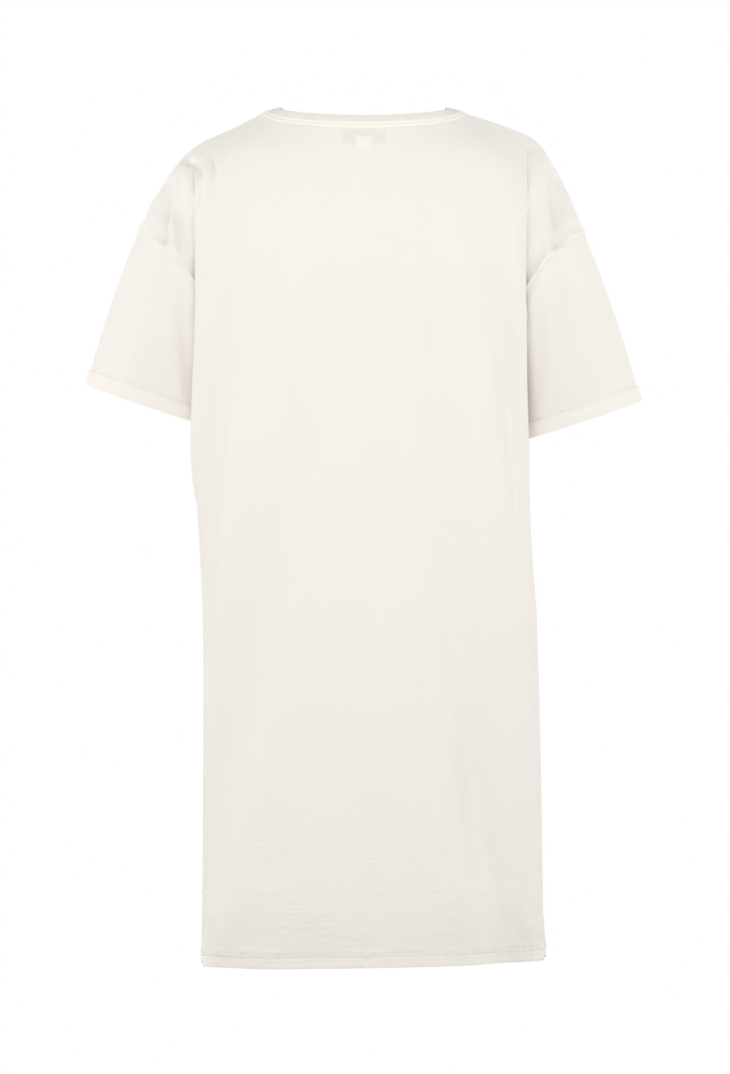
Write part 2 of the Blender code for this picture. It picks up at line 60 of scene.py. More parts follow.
# Gaps between sewn pieces: where one lies on another, and where they only meet
SEAM_GAP = 0.0003
VISIBLE_GAP = 0.00004

# The neck: its seam, the binding that laps over it, and the rib band above. Slopes are at the back, side and front
NECK_HALF = {"left": 0.1090, "right": 0.1075}
NECK_POINT_Z = -0.0074
NECK_BACK_Y, NECK_BACK_Z = 0.066, -0.0250
NECK_FRONT_Y, NECK_FRONT_Z = -0.086, -0.0980
NECK_BACK_CURVE, NECK_FRONT_CURVE = 1.0, 1.5
NECK_SIGN = -1
SLOPE_CURVE = 1.5
JOINT_SHARE = 0.2
BINDING_WIDTH, BINDING_RISE = 0.0092, 0.0011
BINDING_SLOPES = (60, 22, 56)
BINDING_EDGE = 0.30
BINDING_GROOVE, GROOVE_REACH = 0.45, 0.09
BINDING_BEHIND = 0.0010
BINDING_LAP = {"back": 0.0037, "front": 0.0030}
LAP_CLEAR, LAP_RISE, LAP_FADE = 0.0003, 0.0005, 0.0012
BAND_WIDTH, BAND_WALL = 0.0128, 0.0018
BAND_SLOPES = (70, 11, 48)
BAND_NARROWS = 0.0062
BAND_THIN, BAND_ROOT, BAND_TIP = 0.45, 0.16, 0.86

LABEL_WIDTH, LABEL_HEIGHT = 0.049, 0.0165
LABEL_DROP, LABEL_SHIFT = 0.0010, 0.0015
LABEL_BEHIND = 0.0016
LABEL_WALL = 0.0010
LABEL_ROWS, LABEL_COLUMNS = 17, 41
LABEL_THIN, LABEL_ENDS = 0.55, (0.92, 1.0)
LABEL_CREASE = (0.25, 0.12, 0.05)
LABEL_THINNEST = 0.6

# The turned-up hem. Each roll of its cloth has a height, a middle above the edge and a reach
HEM_TURN = 0.0135
HEM_GROOVE = (-0.00025, HEM_TURN, 0.0015)
HEM_PUFF = (0.00030, 0.0180, 0.0030)
HEM_PUCKER = (0.00016, HEM_TURN, 0.0050)
HEM_WAVE = (0.0009, 0.0, 0.045)
HEM_EDGE = (0.0005, 0.0, 0.0011)
HEM_BAND, HEM_BAND_RISE = (0.0108, 0.0128), 0.00030
PUCKER_PITCHES = (0.0113, 0.0171)
WAVE_PITCHES = (0.137, 0.083)
CORNER_LIFT, CORNER_ACROSS, CORNER_UP = 0.0045, 0.0050, 0.008
HEM_SINK, HEM_SINK_FROM, HEM_SINK_SPAN = 0.0100, -0.830, 0.085
HEM_LOOSE = (0.09, 0.16)

# Seams. A pressed allowance rises beside each armhole, and the cloth dips along each side seam
SEAM_RISE = {
    ("back", "left"): 0.0004, ("back", "right"): 0.0020, ("front", "left"): 0.0010, ("front", "right"): 0.0008,
}
ALLOWANCE_RISE, ALLOWANCE_FALL = (0.0, 0.0012), (0.0062, 0.0084)
LEFT_ALLOWANCE_SHOWS = 0.35
SIDE_DIP, SIDE_DIP_REACH = 0.0004, 0.0018
SLEEVE_DIP = {"left": 0.0001, "right": 0.0005}
SLEEVE_DIP_REACH = 0.0016
SLEEVE_ROLL = (0.0002, 0.0045, 0.002)

CUFF_HEIGHT, CUFF_WALL = 0.0165, 0.0012
CUFF_EDGE = 0.75
CUFF_STITCH = 2 / 12
CUFF_GROOVE = (0.0005, CUFF_STITCH, 0.07)
CUFF_TRENCH, TRENCH_DEPTH, TRENCH_REACH = 0.0028, 0.0003, 0.0006

# Where the cloth is held by its seams, creases fade out over these distances
HELD_SIDE, HELD_TOP, HELD_SLEEVE, HELD_CUFF = 0.006, 0.010, 0.008, 0.012
CAP_BELOW = (0.105, 0.125)
FRONT_CAP_SHARE = 0.8
SWAY = 0.0006
SWAY_PHASE = {"back": 0.4, "front": 2.1}
HEM_PHASE = {"back": 2.6, "front": 0.9}

SIDES = {"left": 1.0, "right": -1.0}


def table(columns, *rows):
    """Named columns of numbers, a row for each level."""
    return dict(zip(columns.split(), np.array(rows, float).T))


# The top of the shoulder from the neck point to the armhole
CREST = table(
    "left_x  left_z  right_x  right_z",
    (0.1090, -0.0074, 0.1075, -0.0074),
    (0.1371, -0.0219, 0.1500, -0.0212),
    (0.1777, -0.0411, 0.1835, -0.0372),
    (0.2006, -0.0624, 0.2011, -0.0624),
    (0.2208, -0.0944, 0.2182, -0.0944),
    (0.2400, -0.1296, 0.2356, -0.1382),
)

# Both ends of each armhole and cuff as (x, z), and how far each goes from the middle plane
ARMHOLE = {
    "left": {"outer": (0.2400, -0.1296), "under": (0.1500, -0.2300), "depth": 0.070, "arch": 0.0095},
    "right": {"outer": (0.2356, -0.1382), "under": (0.1480, -0.2380), "depth": 0.070, "arch": 0.0175},
}
CUFF = {
    "left": {"outer": (0.2966, -0.2966), "under": (0.1700, -0.3400), "depth": 0.058, "tip": 0.0022},
    "right": {"outer": (0.2950, -0.3137), "under": (0.1680, -0.3563), "depth": 0.058, "tip": 0.0022},
}
# How much deeper the armhole is behind, and how square the armhole and the cuff are towards the body
HOLE_BEHIND = 0.020
HOLE_SQUARE, UNDER_SQUARE = 0.5, 0.42
SLEEVE_BOW = 0.003

# The panels from just below the shoulder line to the underarm. angle is the place on the armhole in degrees, tuck how
# far the cloth goes in behind the ridge, pleat how much of that fold has formed
BACK_YOKE = table(
    "centre_y  centre_z  ridge_left  ridge_right  ridge_y  ridge_z  tuck  valley_y  angle  pleat  hollow",
    (0.0800, -0.0560, 0.1760, 0.1690, 0.0350, -0.0600, 0.000, 0.0330, 25, 0.00, 0.000),
    (0.0920, -0.0930, 0.1790, 0.1725, 0.0630, -0.0950, 0.000, 0.0540, 45, 0.80, 0.000),
    (0.1010, -0.1310, 0.1790, 0.1710, 0.0790, -0.1310, 0.006, 0.0710, 63, 1.00, 0.000),
    (0.1070, -0.1690, 0.1785, 0.1705, 0.0870, -0.1670, 0.010, 0.0790, 84, 1.00, 0.000),
    (0.1100, -0.2070, 0.1785, 0.1702, 0.0910, -0.2040, 0.011, 0.0740, 110, 1.00, 0.000),
    (0.1110, -0.2300, 0.1785, 0.1712, 0.0925, -0.2260, 0.000, 0.0000, 145, 0.00, 0.006),
    (0.1110, -0.2500, 0.1787, 0.1715, 0.0930, -0.2460, 0.000, 0.0000, 180, 0.00, 0.005),
)
FRONT_YOKE = table(
    "centre_y  centre_z  ridge_left  ridge_right  ridge_y  ridge_z  tuck  valley_y  angle  pleat  hollow",
    (-0.0980, -0.1180, 0.1640, 0.1630, -0.0370, -0.0620, 0.000, -0.0340, 25, 0.00, 0.000),
    (-0.1090, -0.1400, 0.1720, 0.1700, -0.0630, -0.0960, 0.000, -0.0540, 45, 0.80, 0.000),
    (-0.1180, -0.1620, 0.1730, 0.1700, -0.0810, -0.1310, 0.007, -0.0710, 63, 1.00, 0.000),
    (-0.1260, -0.1850, 0.1730, 0.1700, -0.0920, -0.1670, 0.013, -0.0780, 84, 1.00, 0.000),
    (-0.1320, -0.2120, 0.1735, 0.1700, -0.0980, -0.2040, 0.014, -0.0670, 110, 1.00, 0.000),
    (-0.1360, -0.2320, 0.1740, 0.1700, -0.1010, -0.2260, 0.000, 0.0000, 145, 0.00, 0.006),
    (-0.1380, -0.2520, 0.1740, 0.1700, -0.1020, -0.2460, 0.000, 0.0000, 180, 0.00, 0.005),
)

# The tube below the underarm, down to the hem
SKIRT = table(
    "left_z  centre_z  right_z  middle_x  back_y  front_y  ridge_left  ridge_right  ridge_y  side_left  side_right"
    "  hollow",
    (-0.300, -0.302, -0.302, 0.000, 0.113, -0.142, 0.1815, 0.1735, 0.088, 0.1470, 0.1440, 0.003),
    (-0.370, -0.370, -0.370, 0.001, 0.115, -0.145, 0.1840, 0.1770, 0.082, 0.1520, 0.1480, 0.002),
    (-0.450, -0.450, -0.450, 0.001, 0.117, -0.147, 0.1795, 0.1795, 0.072, 0.1650, 0.1640, 0.000),
    (-0.550, -0.550, -0.550, 0.000, 0.119, -0.148, 0.1745, 0.1825, 0.060, 0.1715, 0.1785, 0.000),
    (-0.680, -0.680, -0.680, -0.003, 0.121, -0.148, 0.1728, 0.1865, 0.050, 0.1725, 0.1860, 0.000),
    (-0.800, -0.798, -0.797, -0.006, 0.122, -0.148, 0.1730, 0.1890, 0.045, 0.1730, 0.1885, 0.000),
    (-0.9145, -0.9108, -0.9075, -0.009, 0.121, -0.147, 0.1740, 0.1925, 0.045, 0.1740, 0.1925, 0.000),
)

# How round the back and front are, and where the stations between their named points lie
ROUNDNESS = 2.3
STATIONS_IN = (0.40, 0.75, 0.93)
STATIONS_OUT = (0.20, 0.40, 0.70)
CAP_LEVELS = 5
TUCK_TURN = (0.25, 0.5)
SHELF = 0.5

# Numbers of the named stations, from the centre line out, and of the named levels, from the neck down
CORNER, RIDGE, EDGE = 3, 4, 8
UNDERARM, HEM = 7, 14


def fold(deep, wide, *way, left=1.0, right=1.0, ends=0.7):
    """A crease along a way of (x, z) points, downwards. deep is how far it goes in, or below 0 how far it stands out.
    left and right widen its slope on that side of the wearer. It fades out sooner towards its ends where ends is
    higher."""
    return {"deep": deep, "wide": wide, "way": np.array(way), "left": left, "right": right, "ends": ends}


def mirrored(creases):
    """The same creases on the other side of the body."""
    return [{**crease, "way": crease["way"] * (-1, 1), "left": crease["right"], "right": crease["left"]}
            for crease in creases]


# Broad soft folds of the hanging cloth
SOFT_FOLDS = {
    "back": (
        fold(0.0130, 0.0115, (0.133, -0.090), (0.138, -0.200), (0.146, -0.280), (0.157, -0.350), (0.165, -0.430),
             (0.169, -0.520), (0.170, -0.660), left=1.4, ends=1.0),
        fold(0.0140, 0.0150, (0.060, -0.200), (0.070, -0.386), (0.090, -0.489), (0.116, -0.614), (0.144, -0.727),
             (0.158, -0.860), left=2.2, ends=0.9),
        fold(0.0060, 0.0120, (0.135, -0.520), (0.150, -0.640), (0.160, -0.760), (0.160, -0.860), (0.160, -0.990),
             right=2.5, ends=1.2),
        fold(0.0150, 0.0115, (-0.120, -0.080), (-0.129, -0.140), (-0.140, -0.212), (-0.150, -0.290), (-0.158, -0.370),
             (-0.166, -0.450), (-0.170, -0.540), right=1.4, ends=1.0),
        fold(0.0140, 0.0150, (-0.066, -0.170), (-0.074, -0.300), (-0.082, -0.430), (-0.098, -0.558),
             (-0.120, -0.740), (-0.146, -0.836), (-0.162, -0.905), (-0.171, -0.980), right=2.2, ends=0.9),
        fold(0.0050, 0.0120, (-0.018, -0.110), (-0.025, -0.300), (-0.020, -0.480), (-0.026, -0.640), left=2.5,
             ends=1.2),
        fold(0.0045, 0.0120, (0.092, -0.120), (0.098, -0.240), (0.088, -0.360), left=2.0, ends=1.2),
        fold(0.0125, 0.0140, (-0.104, -0.600), (-0.116, -0.760), (-0.130, -0.850), (-0.140, -0.920), (-0.146, -1.000),
             right=1.6, ends=1.5),
        fold(0.0040, 0.0130, (0.162, -0.700), (0.164, -0.800), (0.165, -0.900), (0.165, -1.000), ends=1.5),
    ),
    "front": (
        fold(0.0100, 0.0130, (0.120, -0.150), (0.130, -0.280), (0.146, -0.420), left=1.6, ends=1.2),
        fold(0.0085, 0.0160, (0.050, -0.300), (0.066, -0.480), (0.098, -0.680), (0.120, -0.880), left=3.0, ends=1.0),
        fold(0.0100, 0.0130, (-0.124, -0.150), (-0.136, -0.290), (-0.152, -0.450), right=1.6, ends=1.2),
        fold(0.0085, 0.0160, (-0.060, -0.290), (-0.080, -0.520), (-0.118, -0.740), (-0.136, -0.890), right=3.0,
             ends=1.0),
        fold(0.0045, 0.0130, (0.006, -0.200), (0.010, -0.400), (0.004, -0.620), left=2.0, ends=1.2),
        fold(0.0080, 0.0140, (-0.130, -0.620), (-0.146, -0.780), (-0.152, -0.880), (-0.154, -1.000), ends=1.5),
        fold(0.0080, 0.0140, (0.126, -0.640), (0.142, -0.780), (0.148, -0.880), (0.150, -1.000), ends=1.5),
    ),
}

# Finer creases, by where they lie: the middle of a panel, its shoulder caps out to the armhole, and the sleeves
BODY_CREASES = {
    "back": (
        fold(0.0032, 0.0012, (0.1606, -0.0590), (0.1594, -0.0700), (0.1592, -0.0880), ends=0.5),
        fold(-0.0030, 0.0060, (0.1670, -0.0560), (0.1668, -0.0748), (0.1680, -0.0960)),
        fold(0.0012, 0.0034, (0.0660, -0.0290), (0.0735, -0.0360), (0.0790, -0.0460)),
        fold(-0.0012, 0.0070, (0.1640, -0.0980), (0.1622, -0.1685), (0.1612, -0.2480)),
        fold(-0.0012, 0.0070, (-0.1565, -0.0980), (-0.1559, -0.1685), (-0.1549, -0.2480)),
        fold(0.0014, 0.0120, (0.1616, -0.3867), (0.1700, -0.5657), (0.1721, -0.6309)),
        fold(0.0012, 0.0070, (-0.1561, -0.8577), (-0.1634, -0.8745), (-0.1718, -0.8955)),
        fold(0.0010, 0.0060, (-0.1690, -0.8141), (-0.1784, -0.8499), (-0.1837, -0.8668)),
        fold(-0.0005, 0.0045, (0.1147, -0.8360), (0.0920, -0.8310), (0.0688, -0.8230)),
        fold(0.0006, 0.0055, (0.1400, -0.8850), (0.1150, -0.8800), (0.0880, -0.8760)),
        fold(0.0004, 0.0040, (-0.0230, -0.8880), (-0.0320, -0.8960), (-0.0400, -0.9000)),
        fold(0.0004, 0.0040, (-0.0420, -0.8860), (-0.0520, -0.8950), (-0.0600, -0.9000)),
        fold(-0.0004, 0.0040, (-0.0330, -0.8850), (-0.0430, -0.8940), (-0.0500, -0.9000)),
    ),
    "front": (
        fold(-0.0012, 0.0070, (0.1590, -0.0980), (0.1575, -0.1685), (0.1565, -0.2480)),
        fold(-0.0012, 0.0070, (-0.1560, -0.0980), (-0.1550, -0.1685), (-0.1540, -0.2480)),
        fold(0.0007, 0.0050, (0.1480, -0.0680), (0.1500, -0.0800), (0.1480, -0.0950)),
        fold(0.0006, 0.0060, (-0.1100, -0.8600), (-0.1250, -0.8750), (-0.1300, -0.8950)),
        fold(0.0006, 0.0055, (0.0700, -0.8800), (0.1000, -0.8760), (0.1300, -0.8800)),
    ),
}
RIDGE_CREASES = {
    "back": (
        fold(0.0032, 0.0011, (0.1813, -0.0620), (0.1813, -0.0800), (0.1808, -0.1020), ends=0.4),
        fold(0.0028, 0.0010, (-0.1733, -0.0465), (-0.1734, -0.0700), (-0.1729, -0.1060), ends=0.4),
    ),
    "front": (
        fold(0.0045, 0.0012, (0.1745, -0.0560), (0.1752, -0.0900), (0.1750, -0.1200), left=2.5, ends=0.5),
        fold(0.0045, 0.0012, (-0.1722, -0.0560), (-0.1726, -0.0900), (-0.1722, -0.1200), right=2.5, ends=0.5),
    ),
}
CAP_CREASES = {
    "left": (
        fold(0.0055, 0.0042, (0.1945, -0.0560), (0.1860, -0.0600), (0.1765, -0.0600)),
        fold(0.0040, 0.0036, (0.1790, -0.0600), (0.1750, -0.0680), (0.1735, -0.0800)),
        fold(-0.0030, 0.0050, (0.1890, -0.0660), (0.1880, -0.0800), (0.1870, -0.1000)),
        fold(0.0100, 0.0050, (0.2068, -0.0760), (0.2097, -0.1192), (0.2135, -0.1650), left=1.5),
        fold(0.0080, 0.0060, (0.1985, -0.1000), (0.1935, -0.1335), (0.1895, -0.1640), right=1.8),
        fold(-0.0016, 0.0050, (0.2030, -0.0950), (0.2030, -0.1280), (0.2050, -0.1560)),
    ),
    "right": (
        fold(0.0020, 0.0036, (-0.1700, -0.0440), (-0.1745, -0.0460), (-0.1800, -0.0475)),
        fold(-0.0016, 0.0050, (-0.1800, -0.0520), (-0.1805, -0.0700), (-0.1800, -0.0950)),
        fold(0.0125, 0.0064, (-0.1990, -0.0600), (-0.2025, -0.1050), (-0.2035, -0.1720), right=1.6, ends=0.6),
        fold(-0.0014, 0.0060, (-0.2110, -0.0850), (-0.2125, -0.1150), (-0.2110, -0.1450)),
        fold(0.0060, 0.0052, (-0.1885, -0.1480), (-0.1807, -0.1650), (-0.1735, -0.1770)),
        fold(0.0020, 0.0040, (-0.2227, -0.1190), (-0.2230, -0.1310), (-0.2215, -0.1400)),
    ),
}
SLEEVE_CREASES = {
    "left": (
        fold(0.0065, 0.0075, (0.1975, -0.1600), (0.1928, -0.2090), (0.1886, -0.2565), (0.1843, -0.3162)),
        fold(0.0050, 0.0050, (0.2129, -0.1560), (0.2160, -0.2005), (0.2170, -0.2450), left=1.5),
        fold(0.0026, 0.0080, (0.2379, -0.1679), (0.2528, -0.2399), (0.2633, -0.2901), left=1.8),
        fold(-0.0012, 0.0080, (0.2040, -0.1900), (0.2030, -0.2400), (0.2020, -0.2900)),
    ),
    "right": (
        fold(0.0030, 0.0070, (-0.1812, -0.1880), (-0.1843, -0.2512), (-0.1833, -0.3289)),
        fold(0.0028, 0.0070, (-0.2069, -0.1950), (-0.2132, -0.2975), right=1.6),
        fold(0.0026, 0.0080, (-0.2390, -0.1679), (-0.2538, -0.2399), (-0.2643, -0.3002), right=1.8),
        fold(-0.0010, 0.0070, (-0.1950, -0.2050), (-0.1970, -0.2600), (-0.1970, -0.3100)),
    ),
}
# Where a sleeve swells out beside the body
SLEEVE_SWELL = {
    "left": fold(0.0100, 0.0200, (0.190, -0.170), (0.183, -0.230), (0.180, -0.300), (0.177, -0.380), ends=0.4),
    "right": fold(0.0100, 0.0200, (-0.183, -0.170), (-0.177, -0.230), (-0.176, -0.310), (-0.175, -0.400), ends=0.4),
}

# How finely each stretch between stations and between levels is divided. The sums are even. The hem has an even number
# of rows, so a panel's inner side ends a row above the edge, and one small triangle is open at each end of its hem
STATION_STEPS = (18, 16, 12, 20, 18, 8, 8, 8)
LEVEL_STEPS = (18, 12, 12, 12, 14, 10, 10, 22, 26, 30, 38, 48, 44)
LAST_STEPS = 32
HEM_ROWS = (0.0265, 0.0250, 0.0235, 0.0220, 0.0205, 0.0190, 0.0175, 0.0162, 0.0148, 0.0135, 0.0122, 0.0108,
            0.0094, 0.0080, 0.0065, 0.0050, 0.0036, 0.0022, 0.0010, 0.0)
STITCH_ROW = HEM_ROWS.index(HEM_TURN) - len(HEM_ROWS)
SLEEVE_STEPS = 76
TRENCH_STEPS = 6
CUFF_STEPS = 12
BINDING_STEPS = 12
BAND_STEPS = 12
RELAX_DOWN, RELAX_ACROSS = 14, 4
SHOULDER_ROUNDS, SHOULDER_PASSES = 25, 4
SMOOTH_MEETING = 0.8
MITRE_LIMIT = 0.55

# Where a panel's grid is evened: between which levels and stations each stretch of it starts and ends
EVEN_LEVELS = (0, 3), (HEM - 0.7, HEM - 0.3)
EVEN_ACROSS, BELOW_NECK = (2.8, 3.8), (0, 1)
SHOULDER_LEVELS = (0.0, 0.6), (1.9, 2.9)
SHOULDER_STATIONS = (2.3, 3.0), (6.4, 7.4)
# How far out the creases of a panel's middle reach, and from where those of its shoulder caps
MIDDLE_END, CAP_START = (RIDGE - 0.2, RIDGE + 0.4), (RIDGE + 1.4, RIDGE + 2.2)

# Small loose sewing low on the left side seam, as (x, z), and how many of the back's last rows go up past it
SIDE_TACK = [(0.1722, -0.8378), (0.1705, -0.8380), (0.1685, -0.8383), (0.1655, -0.8385)]
SIDE_THREAD = [(0.1712, -0.8690), (0.1714, -0.8790), (0.1706, -0.8890), (0.1690, -0.8970), (0.1655, -0.9020)]
TACK_ROWS = 70

# How far stitches stand above the cloth
LIFT, ZIGZAG_LIFT, TACK_LIFT, THREAD_LIFT = 0.0004, 0.0006, 0.0010, 0.0008


# ---------------------------------------------------------------- curves and grids


def unit(vectors):
    return vectors / np.linalg.norm(vectors, axis=-1, keepdims=True)


def step(values, low, high):
    """Rises smoothly from 0 at low to 1 at high."""
    share = np.clip((values - low) / (high - low), 0, 1)
    return share * share * (3 - 2 * share)


def window(values, rise, fall):
    """1 between two slopes, each given by where it starts and ends."""
    return step(values, *rise) * (1 - step(values, *fall))


def bell(values, middle, reach):
    """1 at the middle, and next to nothing from twice the reach away."""
    return np.exp(-(((values - middle) / reach) ** 2))


def arch(share, power=0.5):
    """Rises from 0 to 1 half way along and falls back to 0."""
    return np.clip(np.sin(np.pi * share), 0, 1) ** power


def through(knots, values, at):
    """A smooth curve that never overshoots, through the values at the knots, read at other places."""
    knots, at = np.asarray(knots, float), np.asarray(at, float)
    steps = np.diff(knots)[:, None]
    rises = np.diff(values, axis=0) / steps
    before, after = rises[:-1], rises[1:]
    turns = before * after <= 0
    near, far = 2 * steps[1:] + steps[:-1], steps[1:] + 2 * steps[:-1]
    inner = (near + far) / (near / np.where(turns, 1, before) + far / np.where(turns, 1, after))
    slopes = np.concatenate([rises[:1], np.where(turns, 0, inner), rises[-1:]])
    piece = np.clip(np.searchsorted(knots, at, side="right") - 1, 0, len(steps) - 1)
    width = steps[piece]
    f = (at - knots[piece])[:, None] / width
    start, end = values[piece], values[piece + 1]
    rise = start * (2 * f + 1) * (1 - f) ** 2 + end * (3 - 2 * f) * f**2
    return rise + width * (slopes[piece] * f * (1 - f) ** 2 - slopes[piece + 1] * (1 - f) * f**2)


def along(points):
    """Distance along a line of points."""
    return np.concatenate([[0.0], np.cumsum(np.linalg.norm(np.diff(points, axis=0), axis=1))])


def neck_seam(degrees):
    """Points of the neck seam, from the centre back (0) over the left shoulder (90) to the centre front (180)."""
    turn = np.radians(degrees)
    sine, cosine = np.sin(turn), np.cos(turn)
    half = np.where(sine > 0, NECK_HALF["left"], NECK_HALF["right"])
    back = cosine > 0
    y = np.where(back, NECK_BACK_Y, -NECK_FRONT_Y) * cosine
    drop = np.where(back, NECK_BACK_Z, NECK_FRONT_Z) - NECK_POINT_Z
    z = NECK_POINT_Z + drop * np.abs(cosine) ** np.where(back, NECK_BACK_CURVE, NECK_FRONT_CURVE)
    return np.stack([half * sine, y, z], axis=-1)


def armhole(side, degrees, front):
    """A point on the armhole seam, by its angle from the outer end."""
    hole, turn = ARMHOLE[side], np.radians(degrees)
    (outer_x, outer_z), (under_x, under_z) = hole["outer"], hole["under"]
    share = (1 + np.cos(turn)) / 2
    x = under_x + (outer_x - under_x) * share
    z = under_z + (outer_z - under_z) * share + hole["arch"] * np.sin(turn) ** 2
    under = HOLE_SQUARE if degrees > 90 else 1.0
    y = (-hole["depth"] if front else hole["depth"] + HOLE_BEHIND) * np.sin(turn) ** under
    return np.array([SIDES[side] * x, y, z])


def crest(side):
    """Points along the top of the shoulder, from the neck point to the armhole."""
    x, z = CREST[f"{side}_x"], CREST[f"{side}_z"]
    return np.stack([SIDES[side] * x, 0 * x, z], axis=1)


def inner_stations(centre, ridge):
    """Stations from the centre line to the ridge, on a curve that is flat at the centre and turns in at the ridge."""
    found = [centre]
    for share in STATIONS_IN:
        depth = (1 - share**ROUNDNESS) ** (1 / ROUNDNESS)
        x = centre[0] + (ridge[0] - centre[0]) * share
        y = ridge[1] + (centre[1] - ridge[1]) * depth
        z = centre[2] + (ridge[2] - centre[2]) * share
        found.append(np.array([x, y, z]))
    return found + [ridge]


def roundness(side, share):
    """How far the top of the shoulder bulges out of a straight line, at a share of the way to the armhole."""
    top = crest(side)[1:]
    way = along(top) / along(top)[-1]
    return through(way, top, [share])[0] - (top[0] + (top[-1] - top[0]) * share)


def cap_stations(side, ridge, edge):
    """Stations from the ridge to the armhole with no fold."""
    return [ridge + (edge - ridge) * share + roundness(side, share) for share in STATIONS_OUT]


def tuck_stations(side, level, ridge, edge, tuck, valley_y):
    """Stations of the fold: in behind the ridge, the bottom of the tuck, and out again on the arm."""
    inward = -SIDES[side] * tuck
    deep, wide = TUCK_TURN
    turn = np.array([ridge[0] + deep * inward, ridge[1] + wide * (valley_y - ridge[1]), ridge[2]])
    valley = np.array([ridge[0] + inward, valley_y, ridge[2]])
    shelf = valley + (edge - valley) * SHELF + roundness(side, SHELF) * max(0, 1 - level / CAP_LEVELS)
    return [turn, valley, shelf]


def round_stations(side, ridge, edge, hollow):
    """Stations from the ridge round the side of the tube to its side seam."""
    found = []
    for share in STATIONS_OUT:
        point = ridge + (edge - ridge) * share
        point[0] = ridge[0] + (edge[0] - ridge[0]) * np.sin(share * np.pi / 2) ** 2
        point[0] -= SIDES[side] * hollow * np.sin(share * np.pi)
        found.append(point)
    return found


def yoke_stations(yoke, level, side, front):
    row = {name: column[level - 1] for name, column in yoke.items()}
    centre = np.array([0.0, row["centre_y"], row["centre_z"]])
    ridge = np.array([SIDES[side] * row[f"ridge_{side}"], row["ridge_y"], row["ridge_z"]])
    edge = armhole(side, row["angle"], front)
    if level >= UNDERARM - 1:
        outer = round_stations(side, ridge, edge, row["hollow"])
    else:
        cap = cap_stations(side, ridge, edge)
        tucked = tuck_stations(side, level, ridge, edge, row["tuck"], row["valley_y"])
        outer = [(1 - row["pleat"]) * a + row["pleat"] * b for a, b in zip(cap, tucked)]
    return inner_stations(centre, ridge) + outer + [edge]


def skirt_stations(level, side, front):
    row = {name: column[level - UNDERARM - 1] for name, column in SKIRT.items()}
    facing = -1 if front else 1
    centre = np.array([row["middle_x"], row["front_y" if front else "back_y"], row["centre_z"]])
    ridge = np.array([SIDES[side] * row[f"ridge_{side}"], facing * row["ridge_y"], row[f"{side}_z"]])
    edge = np.array([SIDES[side] * row[f"side_{side}"], 0.0, row[f"{side}_z"]])
    return inner_stations(centre, ridge) + round_stations(side, ridge, edge, row["hollow"]) + [edge]


def level_points(level, front):
    """Points of one level at every whole station, from the right seam to the left."""
    halves = {}
    for side in SIDES:
        if level == 0:
            halves[side] = [neck_seam(0)] * CORNER + list(crest(side))
        elif level <= UNDERARM:
            halves[side] = yoke_stations(FRONT_YOKE if front else BACK_YOKE, level, side, front)
        else:
            halves[side] = skirt_stations(level, side, front)
    return np.array(halves["right"][::-1] + halves["left"][1:])


def level_row(level, front, stations):
    """Points of one level at the given stations, from -EDGE at the right seam to EDGE at the left. The top level is
    the neck seam out to the neck points, and then the shoulder seams."""
    points = level_points(level, front)
    numbers = np.arange(-EDGE, EDGE + 1)
    runs = [(-EDGE, -CORNER), (CORNER, EDGE)] if level == 0 else [(-EDGE, EDGE)]
    turn = stations / CORNER * 90
    found = neck_seam(np.where(turn < 0, -180, 180) - turn if front else turn)
    for first, last in runs:
        run = points[first + EDGE:last + EDGE + 1]
        knots = along(run)
        here = (stations >= first) & (stations <= last)
        places = np.interp(stations[here], numbers[first + EDGE:last + EDGE + 1], knots)
        found[here] = through(knots, run, places)
    return found


@functools.lru_cache(maxsize=None)
def level_places():
    """How far down the cloth each level lies, taken over both panels, so that their seams meet."""
    stations = np.arange(-EDGE, EDGE + 1).astype(float)
    steps = np.zeros(HEM)
    for front in (False, True):
        rows = np.array([level_row(level, front, stations) for level in range(HEM + 1)])
        steps += np.linalg.norm(np.diff(rows, axis=0), axis=2).mean(axis=1) / 2
    return np.concatenate([[0.0], np.cumsum(steps)])


def panel(front, stations, levels):
    """The outer surface of a panel at the given stations and levels: an array of levels by stations by 3."""
    stations, levels = np.asarray(stations, float), np.asarray(levels, float)
    rows = np.array([level_row(level, front, stations) for level in range(HEM + 1)])
    knots = level_places()
    at = np.interp(levels, np.arange(HEM + 1), knots)
    return through(knots, rows.reshape(HEM + 1, -1), at).reshape(len(levels), len(stations), 3)


def spread(counts):
    """Places from 0 up, with as many steps between whole numbers as counts says."""
    places = [0.0]
    for number, count in enumerate(counts):
        places += [number + (part + 1) / count for part in range(count)]
    return np.array(places)


HALF = spread(STATION_STEPS)
STATIONS = np.concatenate([-HALF[:0:-1], HALF])
DROP = SKIRT["centre_z"][-2] - SKIRT["centre_z"][-1]
HEM_LEVELS = HEM - np.array(HEM_ROWS) / DROP
LAST_LEVELS = np.linspace(HEM - 1, HEM_LEVELS[0], LAST_STEPS + 1)[1:]
LEVELS = np.concatenate([spread(LEVEL_STEPS), LAST_LEVELS, HEM_LEVELS[1:]])
UNDERARM_ROWS = sum(LEVEL_STEPS[:UNDERARM]) + 1


def relax(grid, free, passes, axis):
    """Evens a surface along one axis of its grid. free, from 0 to 1, is how far each point may give way."""
    moved, free = np.moveaxis(grid, axis, 0).copy(), np.moveaxis(free, axis, 0)
    gaps = np.linalg.norm(np.diff(moved, axis=0), axis=-1, keepdims=True)
    share = gaps[1:] / (gaps[:-1] + gaps[1:])
    for _ in range(passes):
        middle = moved[:-2] * share + moved[2:] * (1 - share)
        moved[1:-1] += 0.5 * free[1:-1] * (middle - moved[1:-1])
    return np.moveaxis(moved, 0, axis)


